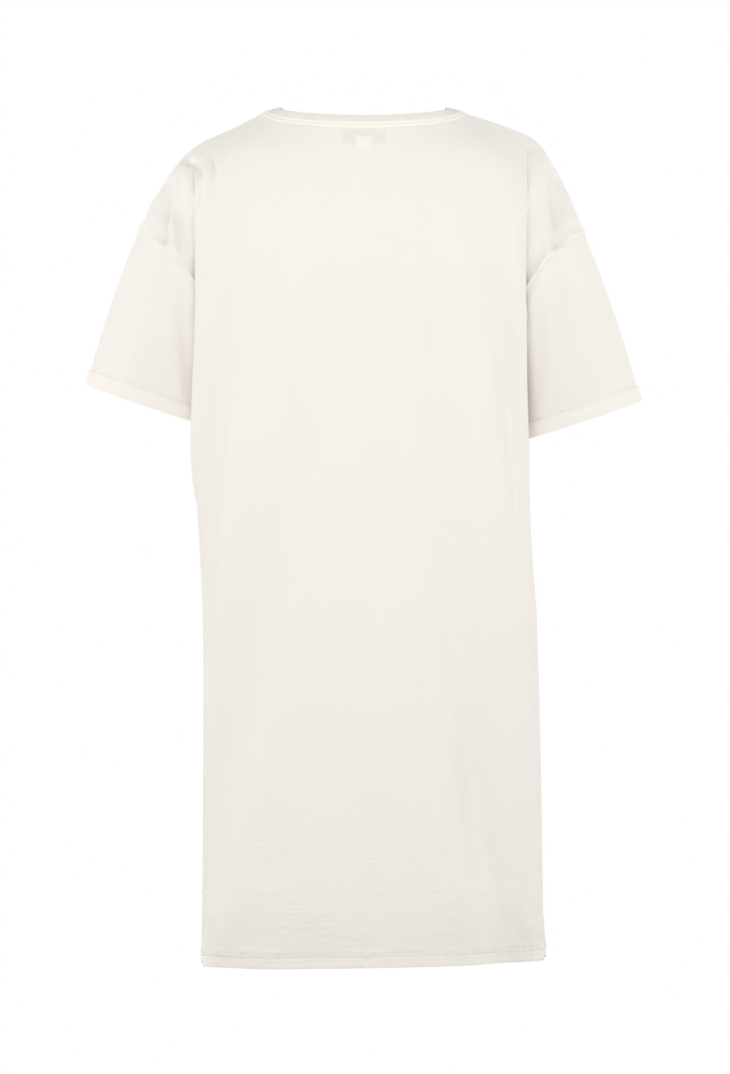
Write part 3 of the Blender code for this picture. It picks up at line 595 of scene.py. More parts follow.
def crease_depth(points, creases):
    """How deep the creases are at each point of a surface, by its x and z."""
    place = points[..., [0, 2]]
    total = np.zeros(points.shape[:2])
    for crease in creases:
        way = crease["way"]
        lengths = along(way)
        nearest, share, widths = np.full(total.shape, np.inf), np.zeros(total.shape), np.ones(total.shape)
        for start, end, before, after in zip(way[:-1], way[1:], lengths[:-1], lengths[1:]):
            run = end - start
            part = np.clip(((place - start) @ run) / (run @ run), 0, 1)
            away = place - (start + part[..., None] * run)
            distance = np.linalg.norm(away, axis=-1)
            beside = (run[0] * away[..., 1] - run[1] * away[..., 0]) / np.linalg.norm(run) / (distance + 1e-9)
            width = crease["right"] + (crease["left"] - crease["right"]) * step(beside, -1.0, 1.0)
            closer = distance < nearest
            widths = np.where(closer, width, widths)
            nearest = np.where(closer, distance, nearest)
            share = np.where(closer, (before + part * (after - before)) / lengths[-1], share)
        total += crease["deep"] * arch(share, crease["ends"]) * bell(nearest, 0, widths * crease["wide"])
    return total


def from_edge(grid, axis, end):
    """Distance over the surface of each point from the first (0) or last (-1) row or column of its grid."""
    steps = np.linalg.norm(np.diff(grid, axis=axis), axis=-1)
    if end == -1:
        steps = np.flip(steps, axis)
    first = np.zeros_like(np.take(steps, [0], axis))
    found = np.concatenate([first, np.cumsum(steps, axis=axis)], axis=axis)
    return np.flip(found, axis) if end == -1 else found


def mean_normals(grid, closed, sign):
    """The mean of the unit normals of the faces round each point of a grid. It is shorter than 1 on a fold."""
    if closed:
        grid = np.concatenate([grid, grid[:, :1]], axis=1)
    across, down = np.diff(grid, axis=1), np.diff(grid, axis=0)
    faces = sign * unit(np.cross(across[:-1] + across[1:], down[:, :-1] + down[:, 1:]))
    total, count = np.zeros_like(grid), np.zeros((*grid.shape[:2], 1))
    for rows in (slice(0, -1), slice(1, None)):
        for columns in (slice(0, -1), slice(1, None)):
            total[rows, columns] += faces
            count[rows, columns] += 1
    if closed:
        total[:, 0] += total[:, -1]
        count[:, 0] += count[:, -1]
        total, count = total[:, :-1], count[:, :-1]
    return total / count


def mitre(mean):
    """Lengthens mean normals so that a wall drawn along them is as thick on a fold as on the flat."""
    length = np.linalg.norm(mean, axis=-1, keepdims=True)
    return mean / length / np.clip(length, MITRE_LIMIT, 1)


def outward(grids):
    """Mitred normals of each surface. Where two surfaces meet smoothly at their borders they share one."""
    own = {name: mean_normals(*given) for name, given in grids.items()}
    meeting, borders = {}, {}
    for name, (grid, closed, _) in grids.items():
        border = np.zeros(grid.shape[:2], bool)
        border[[0, -1]] = True
        if not closed:
            border[:, [0, -1]] = True
        keys = [tuple(place + 0.0) for place in np.round(grid[border], 6)]
        borders[name] = border, keys
        for key, normal in zip(keys, own[name][border]):
            meeting.setdefault(key, []).append(normal)
    for name, (border, keys) in borders.items():
        shared, mine = np.array([np.mean(meeting[key], axis=0) for key in keys]), own[name][border]
        smooth = (unit(shared) * unit(mine)).sum(axis=1, keepdims=True) > SMOOTH_MEETING
        own[name][border] = np.where(smooth, shared, mine)
    return {name: mitre(normals) for name, normals in own.items()}


def pull_in(grid, rows=(), columns=(), gap=VISIBLE_GAP):
    """A copy of a grid with its outermost rows or columns, 0 or -1, drawn back from a seam."""
    grid = grid.copy()
    for end in rows:
        grid[end] += gap * unit(grid[1 if end == 0 else -2] - grid[end])
    for end in columns:
        grid[:, end] += gap * unit(grid[:, 1 if end == 0 else -2] - grid[:, end])
    return grid


# ---------------------------------------------------------------- surfaces of the pieces


@functools.lru_cache(maxsize=None)
def base_panel(front):
    """A panel's plain surface, evened a little along both ways of its grid."""
    grid = panel(front, STATIONS, LEVELS)
    levels, stations = LEVELS[:, None, None], np.abs(STATIONS)[None, :, None]
    down = window(levels, *EVEN_LEVELS) * np.ones_like(stations)
    across = (1 - step(stations, *EVEN_ACROSS)) * step(levels, *BELOW_NECK)
    grid = relax(relax(grid, down, RELAX_DOWN, 0), across, RELAX_ACROSS, 1)
    shoulder = window(levels, *SHOULDER_LEVELS) * window(stations, *SHOULDER_STATIONS)
    for _ in range(SHOULDER_ROUNDS):
        grid = relax(relax(grid, shoulder, SHOULDER_PASSES, 1), shoulder, SHOULDER_PASSES, 0)
    return grid


@functools.lru_cache(maxsize=None)
def base_sleeve(side):
    """A sleeve's plain surface, closed round the arm. Its last CUFF_STEPS + 1 rows are under the cuff."""
    column = -1 if side == "left" else 0
    back, front = (base_panel(face)[:UNDERARM_ROWS, column] for face in (False, True))
    top = np.concatenate([back, front[-2:0:-1]])
    cuff, mirror = CUFF[side], SIDES[side]
    (outer_x, outer_z), (under_x, under_z) = cuff["outer"], cuff["under"]
    way = along(np.concatenate([top, top[:1]]))
    half_way = way[UNDERARM_ROWS - 1]

    def rim_points(turn):
        """Points of the sleeve's edge, rounder on the outside of the arm than next to the body."""
        share, sine = (1 + np.cos(turn)) / 2, np.sin(turn)
        y = cuff["depth"] * np.sign(sine) * np.abs(sine) ** (UNDER_SQUARE + (1 - UNDER_SQUARE) * share)
        z = under_z + (outer_z - under_z) * share - cuff["tip"] * sine
        return np.stack([mirror * (under_x + (outer_x - under_x) * share), y, z], axis=1)

    fine = np.linspace(0, np.pi, 1441)
    even = along(rim_points(fine)[:, :2])
    even /= even[-1]
    behind = np.interp(way[:-1] / half_way, even, fine)
    ahead = 2 * np.pi - np.interp((way[-1] - way[:-1]) / (way[-1] - half_way), even, fine)
    edge = rim_points(np.where(way[:-1] < half_way, behind, ahead))
    cuff_share = CUFF_HEIGHT / np.linalg.norm(edge - top, axis=1)
    near = CUFF_TRENCH / np.linalg.norm(edge - top, axis=1)
    plain = SLEEVE_STEPS - TRENCH_STEPS
    shares = [part / plain * (1 - cuff_share - near) for part in range(plain)]
    shares += [1 - cuff_share - near * (1 - part / TRENCH_STEPS) for part in range(TRENCH_STEPS)]
    shares += [1 - cuff_share * (1 - part / CUFF_STEPS) for part in range(CUFF_STEPS + 1)]
    bow = np.array([mirror * SLEEVE_BOW, 0, 0])
    return np.array([top + (edge - top) * s[:, None] + bow * np.sin(np.pi * s)[:, None] for s in shares])


@functools.lru_cache(maxsize=None)
def normals():
    grids = {"back": (base_panel(False), False, 1), "front": (base_panel(True), False, -1)}
    for side, mirror in SIDES.items():
        grids[f"sleeve_{side}"] = (base_sleeve(side), True, -mirror)
    return outward(grids)


def roll(places, shape):
    """Height of a low roll or groove that runs along the cloth, at some places across it."""
    height, middle, reach = shape
    return height * bell(places, middle, reach)


def armhole_strip(grid, end):
    """Where the pressed allowance lies along an armhole, and which rows are above the underarm."""
    above = 1 - step(np.arange(len(LEVELS))[:, None], UNDERARM_ROWS - 6, UNDERARM_ROWS + 2)
    far = from_edge(grid, 1, end)
    return window(far, ALLOWANCE_RISE, ALLOWANCE_FALL) * above, above


def allowances(grid):
    """Where a panel lies double along both armholes."""
    return np.maximum(armhole_strip(grid, 0)[0], LEFT_ALLOWANCE_SHOWS * armhole_strip(grid, -1)[0])


def seam_relief(name, grid):
    """Heights of the pressed allowances along the armholes, and of the dip along the side seams."""
    total = np.zeros(grid.shape[:2])
    for side, end in (("left", -1), ("right", 0)):
        strip, above = armhole_strip(grid, end)
        total += SEAM_RISE[name, side] * strip
        total -= SIDE_DIP * bell(from_edge(grid, 1, end), 0, SIDE_DIP_REACH) * (1 - above)
    return total


def hem_relief(grid, phase):
    """Heights of the turned-up hem: a groove at its stitching, puckers across it and a soft wave of the edge."""
    up, turns = from_edge(grid, 0, -1), from_edge(grid, 1, 0) * 2 * np.pi
    band = HEM_BAND_RISE * (1 - step(up, *HEM_BAND)) - roll(up, HEM_EDGE)
    pucker = np.sin(turns / PUCKER_PITCHES[0] + phase) + np.sin(turns / PUCKER_PITCHES[1] + 2 * phase)
    wave = np.sin(turns / WAVE_PITCHES[0] + phase) + 0.6 * np.sin(turns / WAVE_PITCHES[1] + 1.7 * phase)
    return roll(up, HEM_GROOVE) + roll(up, HEM_PUFF) + band + pucker * roll(up, HEM_PUCKER) + wave * roll(up, HEM_WAVE)


def sway(grid, phase):
    """Slight uneven lie of the cloth between its folds."""
    x, z = grid[..., 0], grid[..., 2]
    waves = np.sin(x * 46 + 1.3 * np.sin(z * 7 + phase) + phase) * np.sin(z * 5.1 + 2 * phase)
    waves += 0.6 * np.sin(x * 83 + z * 11 + 2 * np.sin(z * 9.5) + 1.9 * phase) * np.sin(z * 8.3 + phase)
    return SWAY * waves * step(-z, 0.14, 0.34)


def cap_depth(base, front):
    """How deep the creases of both shoulder caps are. The front has those of the back's other side."""
    if not front:
        return sum(crease_depth(base, CAP_CREASES[side]) for side in SIDES)
    return sum(crease_depth(base, mirrored(CAP_CREASES[side])) for side in reversed(SIDES)) * FRONT_CAP_SHARE


@functools.lru_cache(maxsize=None)
def cloth_panel(front):
    """A panel's outer surface, the smoother surface that its inner side follows, and its normals."""
    name = "front" if front else "back"
    base, out = base_panel(front), normals()[name]
    x, z = base[..., 0], base[..., 2]
    stations = np.abs(STATIONS)[None, :]
    middle, cap = 1 - step(stations, *MIDDLE_END), step(stations, *CAP_START)
    cap = np.maximum(cap, 1 - step(-z, *CAP_BELOW))
    held = step(from_edge(base, 1, 0), 0, HELD_SIDE) * step(from_edge(base, 1, -1), 0, HELD_SIDE)
    held = held * step(from_edge(base, 0, 0), 0, HELD_TOP)
    soft = crease_depth(base, SOFT_FOLDS[name]) + crease_depth(base, RIDGE_CREASES[name])
    soft = soft + (crease_depth(base, BODY_CREASES[name]) + sway(base, SWAY_PHASE[name])) * middle
    sunk = HEM_SINK * np.clip((HEM_SINK_FROM - z) / HEM_SINK_SPAN, 0, 2) ** 2
    sunk = sunk * np.abs(out[..., 1]) * (1 + 2 * step(np.abs(x), *HEM_LOOSE))
    broad = base - (soft * held)[..., None] * out - (cap_depth(base, front) * cap * held)[..., None] * out
    broad = broad - sunk[..., None] * np.array([0, -1.0 if front else 1.0, 0])
    relief = seam_relief(name, base) + hem_relief(base, HEM_PHASE[name])
    rise = CORNER_LIFT * bell(from_edge(base, 1, -1), 0, CORNER_ACROSS) * bell(from_edge(base, 0, -1), 0, CORNER_UP)
    lift = rise[..., None] * np.array([0, 0, 1.0])
    return broad + relief[..., None] * out + lift, broad + lift, out


@functools.lru_cache(maxsize=None)
def cloth_sleeve(side):
    """A sleeve's outer surface, the surface that its inner side follows, and its normals."""
    base, out = base_sleeve(side), normals()[f"sleeve_{side}"]
    y, below = base[..., 1], from_edge(base, 0, 0)
    beside = from_edge(base, 0, -1) - CUFF_HEIGHT
    held = step(below, 0, HELD_SLEEVE) * step(beside + CUFF_HEIGHT, CUFF_HEIGHT, CUFF_HEIGHT + HELD_CUFF)
    other = "right" if side == "left" else "left"
    deep = crease_depth(base, SLEEVE_CREASES[side]) * step(y, 0.004, 0.024)
    deep += crease_depth(base, mirrored(SLEEVE_CREASES[other])) * step(-y, 0.004, 0.024)
    swell = crease_depth(base, [SLEEVE_SWELL[side]]) * step(np.abs(y), 0.012, 0.045) * step(below, 0, 0.014)
    outward_y = np.array([0, 1.0, 0]) * np.sign(base[..., 1:2])
    trench = TRENCH_DEPTH * bell(beside, TRENCH_REACH, TRENCH_REACH) * (beside > -0.0001)
    broad = base - (deep * held + trench)[..., None] * out + swell[..., None] * outward_y
    dip = roll(below, SLEEVE_ROLL) - SLEEVE_DIP[side] * bell(below, 0, SLEEVE_DIP_REACH)
    return broad + (dip - trench)[..., None] * out, broad, out


def neck_loop(row=0):
    """The neck seam, or a row of the panels below it, as a closed loop from the centre back over the left shoulder."""
    middle, corner = len(HALF) - 1, sum(STATION_STEPS[:CORNER])
    back, front = base_panel(False)[row], base_panel(True)[row]
    left = np.concatenate([back[middle:middle + corner], front[middle + corner:middle:-1]])
    right = np.concatenate([front[middle:middle - corner:-1], back[middle - corner:middle]])
    return np.concatenate([left, right])


def below_seam(depth):
    """Points of the panels below the neck seam, at a depth for each point of the seam."""
    rows = np.array([neck_loop(row) for row in range(4)])
    fall = from_edge(rows, 0, 0)
    found = rows[0].copy()
    for k in range(3):
        part = np.clip((depth - fall[k]) / (fall[k + 1] - fall[k]), 0, 1)
        found += part[:, None] * (rows[k + 1] - rows[k])
    return found


def neck_lean(loop, slopes):
    """The way a strip leans at each point of the neck, how far that point is at the back, and the strip's normals."""
    along_loop = unit(np.roll(loop, -1, axis=0) - np.roll(loop, 1, axis=0))
    inward = unit(np.cross((0, 0, -1.0), along_loop * (1, 1, 0)))
    backward = -inward[:, 1]
    back_slope, side_slope, front_slope = slopes
    end_slope = np.where(backward > 0, back_slope, front_slope)
    lean = np.radians(side_slope + (end_slope - side_slope) * np.abs(backward) ** SLOPE_CURVE)[:, None]
    rise = inward * np.cos(lean) + np.array([0, 0, 1.0]) * np.sin(lean)
    return rise, backward, unit(np.cross(rise, along_loop))


@functools.lru_cache(maxsize=None)
def neck_pieces():
    """The binding that laps over the neck seam and the rib band above it, each as its outer and inner surface."""
    loop = neck_loop()
    rise, backward, strip_out = neck_lean(loop, BINDING_SLOPES)
    lap = np.where(backward > 0, BINDING_LAP["back"], BINDING_LAP["front"]) * np.abs(backward)
    share = np.linspace(0, 1, BINDING_STEPS + 1)
    places = [SEAM_GAP - lap + BINDING_WIDTH * part for part in share]
    rows = [below_seam(np.maximum(-place, 0)) + rise * np.maximum(place, 0)[:, None] for place in places]
    strip, place = np.array(rows), np.array(places)[..., None]
    band_rise, _, band_out = neck_lean(strip[-1], BAND_SLOPES)
    width = (BAND_WIDTH - BAND_NARROWS * np.maximum(backward, 0))[:, None]
    band_share = np.linspace(0, 1, BAND_STEPS + 1)[:, None, None]
    band = strip[-1] + band_rise * (SEAM_GAP / 3 + width * band_share)
    joint = mitre((strip_out + band_out) / 2)
    share = share[:, None, None]
    near = step(share, 1 - JOINT_SHARE, 1.0)
    strip_out = unit(strip_out * (1 - near) + joint * near)
    near = 1 - step(band_share, 0, JOINT_SHARE)
    band_out = unit(band_out * (1 - near) + joint * near)
    swell = BINDING_EDGE + (1 - BINDING_EDGE) * arch(share) - BINDING_GROOVE * bell(share, 0.5, GROOVE_REACH)
    lapped = 1 - step(place, 0.0, LAP_FADE)
    under = LAP_CLEAR * lapped - BINDING_BEHIND * (1 - lapped)
    binding = strip + (LAP_RISE * lapped + BINDING_RISE * swell) * strip_out, strip + under * strip_out
    thick = 0.8 + 0.2 * np.clip(np.sin(np.pi * band_share * 0.8 + 0.3), 0, 1)
    thick = thick - BAND_THIN * (step(band_share, BAND_TIP, 1.0) + 1 - step(band_share, 0.0, BAND_ROOT))
    half = BAND_WALL / 2 * thick * band_out
    return binding, (band + half, band - half)


def label_surface(rows, columns):
    """The place of the label on the back, as rows by columns of points."""
    corner = panel(False, (0, 1), (0, 1))
    wide, high = np.linspace(-0.5, 0.5, columns), np.linspace(0, 1, rows)
    across = (LABEL_SHIFT + LABEL_WIDTH * wide) / np.linalg.norm(corner[0, 1] - corner[0, 0])
    down = (LABEL_DROP + LABEL_HEIGHT * high) / np.linalg.norm(corner[1, 0] - corner[0, 0])
    return panel(False, across, down)


# ---------------------------------------------------------------- meshes

UV_MAP = "cloth"
DOUBLE = "double"
SHARP_ANGLE = 50


def numbered(rows, columns, closed, first_point, first_place):
    """Numbers of a grid's points and of its texture places. A closed grid has its first column of points again at the
    end, with texture places of its own."""
    points = np.arange(rows * columns).reshape(rows, columns) + first_point
    if closed:
        points = np.concatenate([points, points[:, :1]], axis=1)
    places = np.arange(points.size).reshape(points.shape) + first_place
    return np.stack([points, places], axis=-1)


def quads(grid, reverse):
    """Four corners of each face of a numbered grid."""
    corners = [grid[:-1, :-1], grid[:-1, 1:], grid[1:, 1:], grid[1:, :-1]]
    return np.stack(corners[::-1] if reverse else corners, axis=2).reshape(-1, 4, 2)


def rim(fine, coarse, reverse):
    """Triangles between an edge of the outer surface and the matching edge of the inner, which has half the steps."""
    near, far = coarse[:-1], coarse[1:]
    start, middle, end = (fine[first::2][:len(far)] for first in range(3))
    faces = np.stack([middle, start, near, end, middle, far, middle, near, far], axis=1).reshape(-1, 3, 2)
    return faces[:, ::-1] if reverse else faces


def texture_places(grid, closed):
    """Distance across and down the cloth at each point, in metres."""
    if closed:
        grid = np.concatenate([grid, grid[:, :1]], axis=1)
    across, down = from_edge(grid, 1, 0), from_edge(grid, 0, 0)
    middle = across[:, grid.shape[1] // 2, None]
    return np.stack([across - middle, -down], axis=-1)


def place(name, data):
    """A new object at the origin."""
    made = bpy.data.objects.new(name, data)
    bpy.context.scene.collection.objects.link(made)
    return made


def cloth(name, outer, inner, closed, sign, finish, double=None):
    """A thin wall between an outer surface and an inner one, of which every second row and column is used.
    double, from 0 to 1, says where the cloth lies double."""
    inner = inner[::2, ::2]
    uv = texture_places(outer, closed)
    outside = numbered(*outer.shape[:2], closed, 0, 0)
    inside = numbered(*inner.shape[:2], closed, outer.size // 3, uv.size // 2)
    flip = sign < 0
    faces = [quads(outside, flip), quads(inside, not flip)]
    whole = slice(None)
    edges = [((0, whole), flip), ((-1, whole), not flip), ((whole, 0), not flip), ((whole, -1), flip)]
    for edge, reverse in edges[:2] if closed else edges:
        faces.append(rim(outside[edge], inside[edge], reverse))
    mesh = bpy.data.meshes.new(name)
    points = np.concatenate([outer.reshape(-1, 3), inner.reshape(-1, 3)])
    mesh.from_pydata(points.tolist(), [], [face for block in faces for face in block[..., 0].tolist()])
    uv = np.concatenate([uv.reshape(-1, 2), uv[::2, ::2].reshape(-1, 2)])
    layer = mesh.uv_layers.new(name=UV_MAP)
    layer.data.foreach_set("uv", uv[np.concatenate([block[..., 1].ravel() for block in faces])].ravel())
    if double is not None:
        layer = mesh.attributes.new(DOUBLE, "FLOAT", "POINT")
        layer.data.foreach_set("value", np.concatenate([double.ravel(), double[::2, ::2].ravel()]))
    mesh.shade_smooth()
    mesh.set_sharp_from_angle(angle=np.radians(SHARP_ANGLE))
    mesh.materials.append(finish)
    return place(name, mesh)


def settle(piece, slot, *nodes):
    """Ties a finished piece to the frame."""
    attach(piece, BODY)
    if nodes:
        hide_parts(*nodes)
    return piece


# ---------------------------------------------------------------- finishes

TURN = 2 * np.pi
WHITE = (1.0, 1.0, 1.0, 1.0)
OBJECT_PLACE = 3
SPECULAR = 0.25


class Wire:
    """A socket in an expression. Each operator adds a Math node."""

    def __init__(self, nodes, socket):
        self.nodes, self.socket = nodes, socket

    def __add__(self, other):
        return self.nodes.maths("ADD", self, other)

    def __sub__(self, other):
        return self.nodes.maths("SUBTRACT", self, other)

    def __rsub__(self, other):
        return self.nodes.maths("SUBTRACT", other, self)

    def __mul__(self, other):
        return self.nodes.maths("MULTIPLY", self, other)

    def __truediv__(self, other):
        return self.nodes.maths("DIVIDE", self, other)

    def __pow__(self, other):
        return self.nodes.maths("POWER", self, other)

    __radd__ = __add__
    __rmul__ = __mul__


class Nodes:
    """The nodes of a material, a world or a node group."""

    def __init__(self, tree):
        self.tree = tree

    def add(self, kind, settings=None, values=None, output=0):
        """A new node with its settings, then the values or wires of its sockets. Gives one output, or all of them as a
        list where output is None."""
        node = self.tree.nodes.new(kind)
        for name, value in (settings or {}).items():
            setattr(node, name, value)
        self.feed(node, values or {})
        wires = [Wire(self, socket) for socket in node.outputs]
        return wires if output is None else wires[output]

    def feed(self, node, values):
        """Gives a node's sockets values or wires."""
        for key, value in values.items():
            if isinstance(value, Wire):
                self.tree.links.new(value.socket, node.inputs[key])
            else:
                node.inputs[key].default_value = value

    def maths(self, operation, *values):
        return self.add("ShaderNodeMath", {"operation": operation}, dict(enumerate(values)))

    def apart(self, vector):
        """The X, Y and Z of a vector."""
        return self.add("ShaderNodeSeparateXYZ", {}, {0: vector}, None)

    def together(self, *parts):
        """A vector of up to three parts."""
        return self.add("ShaderNodeCombineXYZ", {}, dict(enumerate(parts)))

    def between(self, wire, low, high, ends=(0.0, 1.0)):
        """Changes smoothly from the first of ends, where the wire is low, to the second, where it is high."""
        values = {"Value": wire, "From Min": low, "From Max": high, "To Min": ends[0], "To Max": ends[1]}
        return self.add("ShaderNodeMapRange", {"interpolation_type": "SMOOTHSTEP"}, values)

    def within(self, wire, rise, fall):
        """1 between two places. rise and fall give the start and the end of each slope."""
        return self.between(wire, *rise) * (1.0 - self.between(wire, *fall))

    def noise(self, vector, scale, detail=2.0):
        return self.add("ShaderNodeTexNoise", {}, {"Vector": vector, "Scale": scale, "Detail": detail})

    def mix(self, factor, first, second):
        """A colour between two colours."""
        return self.add("ShaderNodeMix", {"data_type": "RGBA"}, {0: factor, 6: first, 7: second}, 2)


class Finish(Nodes):
    """A material with one Principled shader, and the nodes that vary it over a surface."""

    def __init__(self, name, colour, roughness):
        self.material = bpy.data.materials.new(name)
        self.material.use_nodes = True
        super().__init__(self.material.node_tree)
        self.shader = self.tree.nodes["Principled BSDF"]
        self.feed(self.shader, {"Base Color": (*colour, 1.0), "Roughness": roughness, "Specular IOR Level": SPECULAR})

    def spots(self):
        """Places in the dress's own space."""
        return self.add("ShaderNodeTexCoord", output=OBJECT_PLACE)

    def weave(self):
        """Distances across and down the cloth."""
        return self.apart(self.add("ShaderNodeUVMap", {"uv_map": UV_MAP}))[:2]

    def waves(self, wire, pitch=1.0):
        """Rises and falls between 0 and 1 once in each pitch."""
        return self.maths("SINE", wire * (TURN / pitch)) * 0.5 + 0.5

    def done(self, colour, height=None):
        """Gives the shader its colour and its bump, with the height in metres."""
        values = {"Base Color": colour}
        if height is not None:
            values["Normal"] = self.add("ShaderNodeBump", {}, {"Strength": 1.0, "Distance": 1.0, "Height": height})
        self.feed(self.shader, values)
        return self.material


def shade(colour, factor):
    """A colour times a factor, with its alpha."""
    return (*(float(c) * factor for c in colour), 1.0)


def knit_height(finish, across, down, wale, course):
    """Height of plain knit, in shares of its relief: columns of small V stitches with a groove between columns."""
    part = finish.maths("FRACT", across / wale)
    bend = finish.maths("ABSOLUTE", part - 0.5) * 2.0
    return finish.waves(down / course + bend * 0.8) * (1.0 - bend**5.0)


# How closely the jersey's textures are spaced, per metre. The long ones run across the cloth and down it, with a slant
SLUB_SPACING, CRINKLE_SPACING, PUCKER_SPACING = (26.0, 330.0, 14.0), (58.0, 215.0, 36.0, 20.0), (150.0, 30.0, 110.0)
MOTTLE_SPACING, FUZZ_SPACING, PATCH_SPACING, GATHER_SPACING = 9.0, 1400.0, 17.0, 21.0
PATCH_EDGE, GATHER_EDGE = (0.38, 0.66), (0.42, 0.62)
# Heights of the jersey's textures, and where the cloth low on the dress is crinkled and its hem puckered
SLUB_HEIGHT, FUZZ_HEIGHT, MOTTLE_HEIGHT, CRINKLE_HEIGHT, PUCKER_HEIGHT = 0.00006, 0.00003, 0.00045, 0.00160, 0.0022
CRINKLED = (-0.66, -0.86)
PUCKERED = (-0.889, -0.895)
# Where the label's painted shadow shows through the back: its width, its height, and the lighter patch at its middle
LABEL_ACROSS = ((-0.0250, -0.0200), (0.0215, 0.0275))
LABEL_DOWN = ((-0.0475, -0.0415), (-0.0320, -0.0285))
PATCH_ACROSS = ((-0.0110, -0.0060), (0.0070, 0.0125))
PATCH_DOWN = ((-0.0530, -0.0470), (-0.0380, -0.0335))
LABEL_SHOWS, PATCH_SHOWS = 0.85, 0.5
# Spacing of the label's threads and of the sewing thread's twist
TAPE_WARP, TAPE_WEFT, TWIST_PITCH = 0.0005, 0.0004, 0.0006


def label_shadow(finish, spots, base, colour):
    """The colour of the back with the label's shadow painted faintly on it, where the label shows through, and a
    lighter patch at its middle.
    """
    x, y, z = finish.apart(spots)
    warp = (finish.noise(spots, 160.0) - 0.5) * 0.006
    x, z = x + warp, z + warp
    facing = finish.between(y, 0.0, 0.01)
    low, high = PATCH_DOWN
    patch = finish.within(x, *PATCH_ACROSS) * (1.0 - finish.between(z, *high)) * finish.between(z, *low)
    shown = finish.within(x, *LABEL_ACROSS) * finish.within(z, *LABEL_DOWN) * facing
    # painted shadow of the label: the back is darker where the label lies behind it, with a lighter patch at its middle
    base = finish.mix(patch * facing * PATCH_SHOWS, base, shade(colour, 1.05))
    return finish.mix(shown * (LABEL_SHOWS - patch * LABEL_SHOWS), base, shade(colour, 0.925))


def jersey(name, label_shows=False, layers=0.0):
    """Off-white cotton jersey: a fine knit, thin slubs across the cloth and faint changes of tone, with painted shade
    in the hollows of the crinkles low on the dress and a painted highlight on their crests. It is lighter where it lies
    double, which layers gives for a whole piece, from 0 to 1."""
    own = bpy.context.scene.dress_cloth
    finish = Finish(name, own.colour, own.roughness)
    across, down = finish.weave()
    spots = finish.spots()
    x, y, z = finish.apart(spots)
    wide, high, slant = SLUB_SPACING
    slub = finish.noise(finish.together(across * wide, z * high + across * slant), 1.0, 3.0)
    wide, high, slant, deep = CRINKLE_SPACING
    crinkle = finish.noise(finish.together(across * wide, z * high + x * slant, y * deep), 1.0, 2.5)
    wide, high, slant = PUCKER_SPACING
    pucker = finish.noise(finish.together(across * wide + z * slant, z * high), 1.0)
    mottle, fuzz = finish.noise(spots, MOTTLE_SPACING, 3.0), finish.noise(spots, FUZZ_SPACING, 1.0)
    patches = finish.between(finish.noise(spots, PATCH_SPACING), *PATCH_EDGE)
    low = finish.between(z, *CRINKLED) * (patches * 0.85 + 0.15)
    gathers = finish.between(finish.noise(spots, GATHER_SPACING, 1.0), *GATHER_EDGE)
    pucker = pucker * finish.between(z, *PUCKERED) * gathers
    height = knit_height(finish, across, down, own.wale, own.course) * own.relief
    height = height + slub * (SLUB_HEIGHT * own.slub) + fuzz * FUZZ_HEIGHT
    height = height + crinkle * (low * CRINKLE_HEIGHT * own.slub) + mottle * MOTTLE_HEIGHT + pucker * PUCKER_HEIGHT
    tone = (slub - 0.5) * (0.35 * own.slub) + (mottle - 0.5) * 0.30 + (fuzz - 0.5) * 0.15
    # painted shade and highlight: the crinkles' tone is darker in their hollows and lighter on their crests
    tone = tone + (crinkle - 0.5) * (low * 0.35) + 0.5
    base = finish.mix(tone, shade(own.colour, 0.975), shade(own.colour, 1.02))
    if label_shows:
        base = label_shadow(finish, spots, base, own.colour)
    doubled = finish.add("ShaderNodeAttribute", {"attribute_name": DOUBLE}, output=2) * (1.0 - layers) + layers
    return finish.done(finish.mix(doubled * 0.8, base, shade(own.colour, 1.07)), height)


def rib_knit(name):
    """The rib of the neckband: narrow columns that stand out from the cloth, with painted shade in the grooves between
    them. Its colour is a little darker than the jersey's, partly as painted shade.
    """
    own = bpy.context.scene.dress_cloth
    finish = Finish(name, own.rib_shaded_colour, own.roughness)
    across, _ = finish.weave()
    ribs = finish.waves(across, own.rib_pitch)
    mottle = finish.noise(finish.spots(), 60.0, 3.0)
    # painted shade: the tone is darker in the grooves between the ribs
    tone = finish.mix(ribs * 0.6 + mottle * 0.4, shade(own.rib_shaded_colour, 0.93), shade(own.rib_shaded_colour, 1.01))
    return finish.done(tone, ribs * 0.00007 + mottle * 0.0001)


def woven_tape(name):
    """Plain woven tape of the blank label."""
    own = bpy.context.scene.dress_cloth
    finish = Finish(name, own.tape_colour, 0.7)
    across, down = finish.weave()
    warp, weft = finish.maths("SINE", across * (TURN / TAPE_WARP)), finish.maths("SINE", down * (TURN / TAPE_WEFT))
    weave = warp * weft * 0.5 + 0.5
    tone = weave * 0.5 + finish.noise(finish.spots(), 120.0) * 0.5
    return finish.done(finish.mix(tone, shade(own.tape_colour, 0.96), shade(own.tape_colour, 1.0)), weave * 0.00005)


def sewing_thread(name):
    """Spun thread with a fine twist."""
    own = bpy.context.scene.dress_thread
    finish = Finish(name, own.colour, 0.65)
    x, y, z = finish.apart(finish.spots())
    twist = finish.waves(x + y + z * 1.3, TWIST_PITCH)
    return finish.done(finish.mix(twist, shade(own.colour, 0.96), shade(own.colour, 1.0)), twist * 0.00003)


@functools.lru_cache(maxsize=None)
def finishes():
    return {
        "back": jersey("jersey_back", label_shows=True),
        "jersey": jersey("jersey"),
        # The binding is lighter than double cloth alone, partly as a painted highlight on its raised strip
        "binding": jersey("jersey_binding", layers=1.25),
        "cuff": jersey("jersey_cuff", layers=0.5),
        "rib": rib_knit("rib"),
        "tape": woven_tape("label_tape"),
        "thread": sewing_thread("thread"),
    }


# ---------------------------------------------------------------- settings


